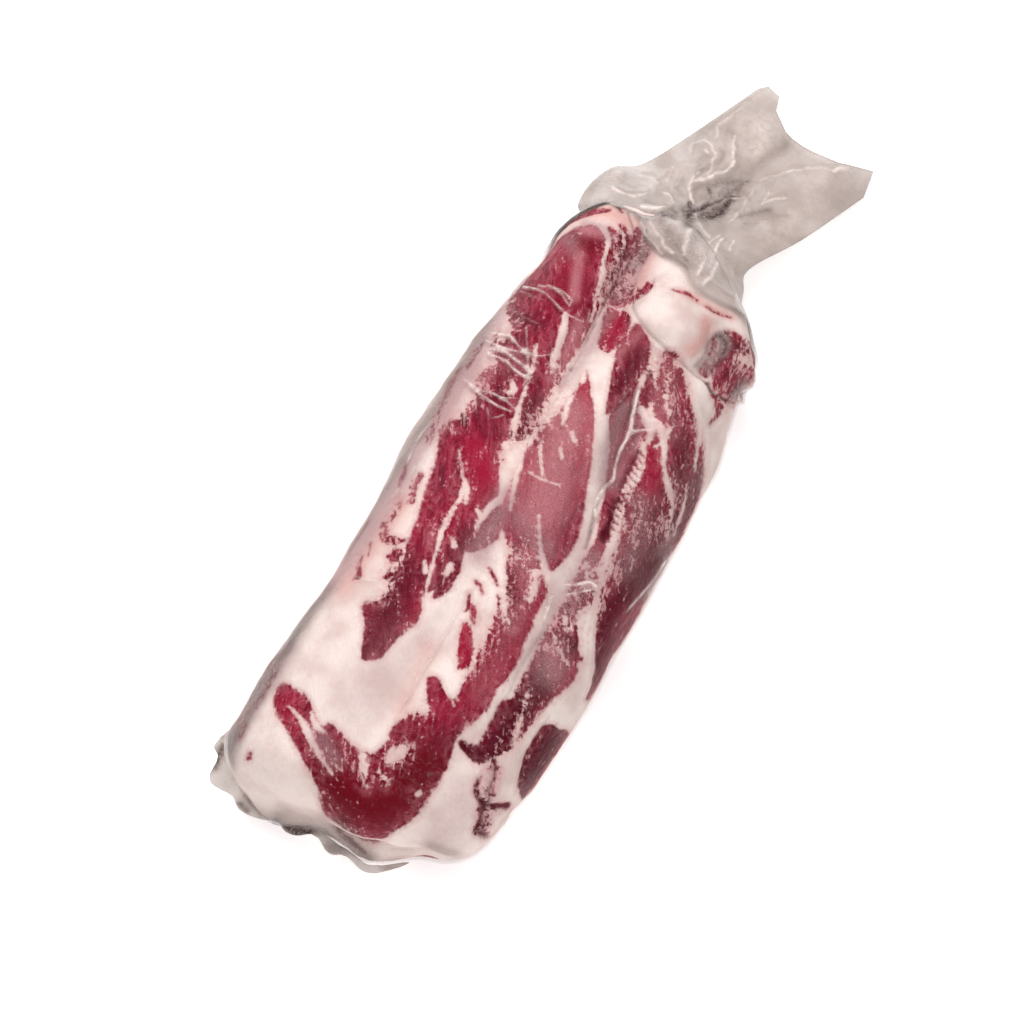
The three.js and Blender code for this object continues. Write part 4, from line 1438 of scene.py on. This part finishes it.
def keep_faces(piece: bpy.types.Object, upper: bool) -> None:
    """Cuts away the faces of a mesh that look down, or those that look up.

    Args:
        piece: the object whose mesh is cut.
        upper: whether the faces that look up are kept.
    """
    work = bmesh.new()
    work.from_mesh(piece.data)
    unwanted = [face for face in work.faces if (face.normal.z > DOWNWARD) != upper]
    bmesh.ops.delete(work, geom=unwanted, context="FACES")
    work.to_mesh(piece.data)
    work.free()


def refine(piece: bpy.types.Object, wanted: np.ndarray) -> None:
    """Splits the faces round chosen points of a mesh into four.

    Args:
        piece: the object whose mesh is split.
        wanted: for each point, whether it is chosen.
    """
    work = bmesh.new()
    work.from_mesh(piece.data)
    work.verts.ensure_lookup_table()
    faces = {face for index in np.flatnonzero(wanted) for face in work.verts[index].link_faces}
    edges = list({edge for face in faces for edge in face.edges})
    bmesh.ops.subdivide_edges(work, edges=edges, cuts=1, use_grid_fill=True)
    work.to_mesh(piece.data)
    work.free()
    piece.data.shade_smooth()


def dress(
    piece: bpy.types.Object, material: bpy.types.Material, nodes: tuple[str, ...]
) -> None:
    """Finishes a piece and ties it to the frame.

    Args:
        piece: the piece.
        material: its finish.
        nodes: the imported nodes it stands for.
    """
    piece.data.materials.append(material)
    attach(piece, "root")
    if nodes:
        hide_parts(*nodes)


@dataclass
class Beef:
    """The meat inside its film."""

    voxel: float = 1.6
    smoothing: int = 5
    film_gap: float = 0.8
    fat_stands: float = 0.45
    unmarked: float = 8.0
    refined_edge: float = 1.4
    refined_crease: float = -0.2
    lowest: float = 0.5

    def tissue(self, skin: Skin) -> np.ndarray:
        """How deep each point lies in fat, negative in lean.

        Args:
            skin: the meat's surface.

        Returns:
            The depths, in millimetres.
        """
        seen = VIEW.marked(skin.points)
        depth = np.full(len(seen), self.unmarked)
        for marking in PATCHES + STREAKS + RIB_GAPS:
            if isinstance(marking, Patch):
                inside = depth_in_patch(seen, marking.outline)
            else:
                inside = depth_in_streak(seen, marking.path, marking.widths)
            depth = np.maximum(depth, inside) if marking.tissue is FAT else np.minimum(depth, -inside)
        hidden = 9 * lumps(skin.points * (1.6, 0.8, 1.6), 40, 3.0) + 3 * lumps(skin.points, 14, 5.0) + 1.5
        share = skin.facing()
        return depth * share + hidden * (1 - share)

    def build(self) -> bpy.types.Object:
        """Makes the meat.

        Returns:
            The piece.
        """
        piece = fine_copy("wrapped_beef", "beef", self.voxel, self.smoothing)
        skin = Skin.read(piece.data)
        creased = relief_of(VIEW.marked(skin.points), CREASES + RIB_CREASES) < self.refined_crease
        wanted = (np.abs(self.tissue(skin)) < self.refined_edge) | creased
        refine(piece, wanted & (skin.facing() > REFINED_FACING))
        skin = Skin.read(piece.data)
        seen = VIEW.marked(skin.points)
        facing = skin.facing()
        depth = self.tissue(skin)
        self.store_tones(skin, seen, facing, depth)
        raised = self.fat_stands * np.tanh(depth / 1.5)
        raised = raised + 0.25 * lumps(skin.points, 5) + 0.35 * lumps(skin.points, 11)
        hollow = facing * relief_of(seen, CREASES + RIB_CREASES, SHARP)
        raised += hollow + facing * relief_of(seen, SWELLINGS)
        # painted shade: how much the creases darken the meat's colour
        skin.store("hollow", smooth_step(-hollow, 0.5, 1.7) * (0.75 + 0.5 * lumps(skin.points, 8)))
        raised = raised - self.film_gap - self.fat_stands
        skin.points += skin.normals * raised[:, None] + shaped(skin.points)
        skin.points[:, 2] = np.maximum(skin.points[:, 2], self.lowest)
        skin.write()
        dress(piece, MeatFinish().build(), ("wrapped_beef",))
        return piece

    def store_tones(
        self, skin: Skin, seen: np.ndarray, facing: np.ndarray, depth: np.ndarray
    ) -> None:
        """Gives the mesh the numbers that its finish reads.

        Args:
            skin: the meat's surface.
            seen: where the camera sees each point.
            facing: how far each point faces the camera.
            depth: how deep it lies in fat.
        """
        skin.store("tissue", depth)
        for tone in Tone:
            skin.store(tone.value, strongest(seen, TINTS[tone], ROUND) * facing**2)
        store_places(skin)


@dataclass
class TightFilm:
    """The film drawn tight round the meat, its upper or its lower part."""

    name: str = "film_above"
    upper: bool = True
    voxel: float = 1.3
    smoothing: int = 14
    stands_off: float = 0.35
    refined_wrinkle: float = 0.1
    refined_light: float = 0.2
    crease_share: float = 0.35
    grime_and_shade_haze: float = 0.3

    def build(self) -> bpy.types.Object:
        """Makes the film.

        Returns:
            The piece.
        """
        piece = fine_copy("wrapped_beef", self.name, self.voxel, self.smoothing)
        keep_faces(piece, self.upper)
        skin = Skin.read(piece.data)
        seen = VIEW.marked(skin.points)
        lit = (strongest(seen, LIGHTS) > self.refined_light) & (skin.facing() > REFINED_FACING)
        refine(piece, (relief_of(seen, WRINKLES) > self.refined_wrinkle) | lit)
        skin = Skin.read(piece.data)
        seen = VIEW.marked(skin.points)
        facing = skin.facing()
        wrinkles = relief_of(seen, WRINKLES, KEEN)
        loose = depth_in_patch(seen, MEAT_ENDS_UNDER_FILM)
        lifted = smooth_step(loose, -1.5, 3.0) * facing
        behind = (1 - facing) * smooth_step(skin.points[:, 1], 110, 140)
        folds = relief_of(seen, FOLDS, SHARP) * smooth_step(loose, -6, 2)
        fine = 0.18 * lumps(skin.points, 4.5, 2.0) + 0.25 * lumps(skin.points, 9, 4.0)
        folds = wrinkles + folds + self.crease_share * relief_of(seen, CREASES)
        raised = facing * (folds + relief_of(seen, SWELLINGS))
        raised += fine + self.stands_off
        skin.points += skin.normals * raised[:, None] + shaped(skin.points)
        skin.points[:, 2] = np.maximum(skin.points[:, 2], 0.0)
        # haze along the grime and painted shade at the meat's edges
        grime_and_shade = facing * self.grime_and_shade_haze * strongest(seen, TINTS[Tone.GRIME_AND_SHADE], ROUND)
        # painted highlights: the wrinkle tops, and the light strokes where the film lies loose over the
        # meat's end
        thin = smooth_step(wrinkles + 0.2 * lumps(skin.points, 6), 0.3, 0.9)
        # painted shade: the shade strokes, where the film lifts off the meat's end
        under_tail = lifted * strongest(wavered(seen), SHADES)
        store_film(
            skin,
            haze=np.clip(lifted + behind + grime_and_shade, 0, 1),
            ridge=facing * np.where(loose > 0, strongest(wavered(seen), LIGHTS), thin),
            soil=smooth_step(facing, 0, 0.3) * np.maximum(strongest(seen, FILM_SOIL_AND_SHADE), under_tail),
            crinkled=facing * np.clip(0.15 + 1.1 * lumps(skin.points, 26, 8.0), 0.0, 0.8),
        )
        skin.write()
        hazy = FilmFinish("tight_film", haze=srgb(194, 177, 170), haze_shade=srgb(160, 142, 135))
        dress(piece, hazy.build(), ())
        return piece


def value_at(knots: tuple[Point, ...], places: np.ndarray) -> np.ndarray:
    """The values at places on a line through knots, each a place and its value."""
    return np.interp(places, [k[0] for k in knots], [k[1] for k in knots])


def edge_curve(points: tuple[Place, ...], shares: np.ndarray) -> np.ndarray:
    """Places along a smooth curve through points in space.

    Args:
        points: the points that it passes through.
        shares: shares of its length.

    Returns:
        The place at each share.
    """
    flat = rounded(points, False, 12)
    steps = np.linalg.norm(np.diff(flat, axis=0), axis=1)
    length = np.concatenate([[0], np.cumsum(steps)])
    return np.stack([np.interp(shares * length[-1], length, flat[:, k]) for k in range(3)], 1)


@dataclass
class BagTail:
    """The empty, crumpled end of the bag."""

    # fmt: off
    left: tuple[Place, ...] = (
        (-46, 128, 40), (-58, 156, 38), (-57, 183, 30), (-46, 201, 21), (-36, 238, 9), (-22, 281, 3.2),
    )
    right: tuple[Place, ...] = (
        (38, 108, 36), (37, 134, 34), (31, 155, 27), (26, 173, 19), (39, 208, 8), (53, 246, 3.2),
    )
    thickness: tuple[Point, ...] = ((0, 30), (0.2, 26), (0.38, 14), (0.52, 7.5), (0.7, 4.5), (1, 2.2))
    mouth: tuple[Point, ...] = (
        (-1, 2), (-0.93, 7), (-0.72, 7), (-0.6, 0), (-0.3, -4), (0, -3), (0.45, 6), (0.82, 17), (1, 3),
    )
    # fmt: on
    crumpled: Stroke = Stroke(((-8, 166), (4, 180), (8, 192)), 7, 1.6)
    starts_at: float = 0.16
    films_apart: float = 0.25
    haze: float = 0.72
    crinkled: float = 0.15
    shine: float = 0.8
    rows: int = 250
    columns: int = 150

    def surface(self, side: int) -> np.ndarray:
        """The upper or lower film.

        Args:
            side: 1 for the upper film and -1 for the lower.

        Returns:
            Its points, row by row.
        """
        u = np.linspace(self.starts_at, 1, self.rows)
        w = np.linspace(0, 1, self.columns)
        left, right = edge_curve(self.left, u), edge_curve(self.right, u)
        across = 2 * w - 1
        p = left[:, None] * (1 - w)[None, :, None] + right[:, None] * w[None, :, None]
        way = left[-1] + right[-1] - left[self.rows * 3 // 5] - right[self.rows * 3 // 5]
        way[2] = 0
        way /= np.linalg.norm(way)
        p += way * (smooth_step(u, 0.65, 1)[:, None] * value_at(self.mouth, across)[None])[..., None]
        lens = (1 - np.abs(across) ** 2.6) ** 0.6
        half = (0.5 + (value_at(self.thickness, u)[:, None] - 0.5) * lens[None]) / 2
        p[..., 2] += side * half
        flat = p.reshape(-1, 3)
        full = np.repeat(lens[None], self.rows, 0).ravel()
        seen = VIEW.marked(flat)
        fold = relief_of(seen, FOLDS, SHARP) * (1.2 if side > 0 else 0.5)
        fold += 0.7 * lumps(flat * (1, 0.6, 0.2), 9, 6.0 + side) + 0.9 * lumps(flat * (1, 0.6, 0.2), 20, 8.0)
        crumple = closeness(seen, self.crumpled, ROUND) * self.crumpled.strength
        fold += crumple * lumps(flat * (1, 1, 0.2), 3.4, 11.0)
        flat[:, 2] += fold * np.clip(full * 1.6, 0.15, 1)
        flat[:, 2] = np.maximum(flat[:, 2], 0.8 if side > 0 else 0.4)
        return flat

    def build(self) -> bpy.types.Object:
        """Makes the bag's end as a closed skin of its two films.

        Returns:
            The piece.
        """
        upper, lower = self.surface(1), self.surface(-1)
        lower[:, 2] = np.minimum(lower[:, 2], upper[:, 2] - self.films_apart)
        rows, columns, below = self.rows, self.columns, self.rows * self.columns
        faces = []
        for i in range(rows - 1):
            for j in range(columns - 1):
                a = i * columns + j
                faces.append((a, a + 1, a + columns + 1, a + columns))
                faces.append((below + a, below + a + columns, below + a + columns + 1, below + a + 1))
        ends = [(j, j + 1) for j in range(columns - 1)]
        ends += [((rows - 1) * columns + j + 1, (rows - 1) * columns + j) for j in range(columns - 1)]
        ends += [((i + 1) * columns, i * columns) for i in range(rows - 1)]
        ends += [(i * columns + columns - 1, (i + 1) * columns + columns - 1) for i in range(rows - 1)]
        faces += [(b, a, below + a, below + b) for a, b in ends]
        mesh = bpy.data.meshes.new("bag_end")
        points = np.concatenate([upper, lower])
        mesh.from_pydata((points * MM).tolist(), [], faces)
        mesh.update()
        mesh.shade_smooth()
        piece = added("bag_end", mesh)
        skin = Skin.read(mesh)
        seen = wavered(VIEW.marked(skin.points))
        above = np.arange(len(seen)) < below
        # painted highlights from the light strokes, and painted shade and stains from the shade strokes, on
        # the upper film
        store_film(
            skin,
            haze=self.haze,
            ridge=above * self.shine * strongest(seen, LIGHTS),
            soil=above * strongest(seen, SHADES),
            crinkled=self.crinkled,
        )
        dress(piece, FilmFinish("loose_film", ripple=0.5).build(), ("bag_tail",))
        return piece


@dataclass
class BagSeal:
    """The sealed edge of the bag, round the lower end of the meat."""

    voxel: float = 0.5
    smoothing: int = 4
    waviness: float = 0.8
    haze: float = 0.6
    crinkled: float = 0.3
    middle: Point = (-10, -125)

    def build(self) -> bpy.types.Object:
        """Makes the seal's film.

        Returns:
            The piece.
        """
        piece = fine_copy("bag_seal", "seal_edge", self.voxel, self.smoothing)
        skin = Skin.read(piece.data)
        skin.points[:, 2] += self.waviness * lumps(skin.points * (1, 1, 0), 7, 1.0)
        seen = VIEW.marked(skin.points)
        outward = seen - self.middle
        outward /= np.linalg.norm(outward, axis=1)[:, None]
        skin.points[:, :2] += outward * relief_of(seen, SEAL_WAVES)[:, None]
        # random soil patches, with the stains and painted shade at the film's edges
        stains_and_shade = strongest(VIEW.marked(skin.points), FILM_SOIL_AND_SHADE)
        soil = np.maximum(0.3 * smooth_step(lumps(skin.points, 12, 3.0), 0.0, 0.5), stains_and_shade)
        store_film(skin, haze=self.haze, ridge=0.0, soil=soil, crinkled=self.crinkled)
        skin.write()
        dress(piece, FilmFinish("seal_film", ripple=0.4).build(), ("bag_seal",))
        return piece


@dataclass
class Studio:
    """A white floor and soft lights."""

    floor_size: float = 6.0
    floor_below: float = 0.4
    surround: float = 0.5
    aim: Place = (0, 0, 0.04)

    def build(self) -> None:
        """Adds the floor, the lights and the surrounding white."""
        half = self.floor_size / 2
        mesh = bpy.data.meshes.new("floor")
        z = -self.floor_below * MM
        corners = [(-half, -half, z), (half, -half, z), (half, half, z), (-half, half, z)]
        mesh.from_pydata(corners, [], [(0, 1, 2, 3)])
        mesh.materials.append(FloorFinish().build())
        added("floor", mesh)
        self.lamp("key", (-0.4, 0.3, 1.0), 0.7, 8.4).visible_glossy = False
        self.lamp("fill", (0.5, -0.8, 0.8), 0.9, 4.8).visible_glossy = False
        self.lamp("left strip", (-0.35, 0.45, 0.9), 0.6, 0.9, 0.02)
        self.lamp("right strip", (0.3, 0.1, 1.0), 0.6, 0.7, 0.02)
        world = bpy.data.worlds.new("white")
        world.use_nodes = True
        background = world.node_tree.nodes["Background"]
        background.inputs["Color"].default_value = (1, 1, 1, 1)
        background.inputs["Strength"].default_value = self.surround
        bpy.context.scene.world = world
        bpy.context.scene.view_settings.view_transform = "Standard"

    def lamp(
        self, name: str, place: Place, size: float, power: float, width: float = 0
    ) -> bpy.types.Object:
        """Adds a flat lamp that faces the meat.

        Args:
            name: its name.
            place: where it stands, in metres.
            size: the length of its side.
            power: its power in watts.
            width: its other side, where it isn't square.

        Returns:
            The lamp.
        """
        data = bpy.data.lights.new(name, "AREA")
        data.shape = "RECTANGLE"
        data.size = size
        data.size_y = width or size
        data.energy = power
        lamp = added(name, data)
        lamp.location = place
        lamp.rotation_euler = (Vector(self.aim) - Vector(place)).to_track_quat("-Z", "Y").to_euler()
        return lamp


def main() -> None:
    """Builds the scene."""
    logging.basicConfig(level=logging.INFO, format="%(message)s")
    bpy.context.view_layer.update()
    VIEW.make_camera()
    Studio().build()
    below = TightFilm("film_below", upper=False, voxel=2.2, smoothing=6)
    for maker in (Beef(), TightFilm(), below, BagTail(), BagSeal()):
        piece = maker.build()
        log.info("%s: %d points, %d faces", piece.name, len(piece.data.vertices), len(piece.data.polygons))


if __name__ == "__main__":
    main()
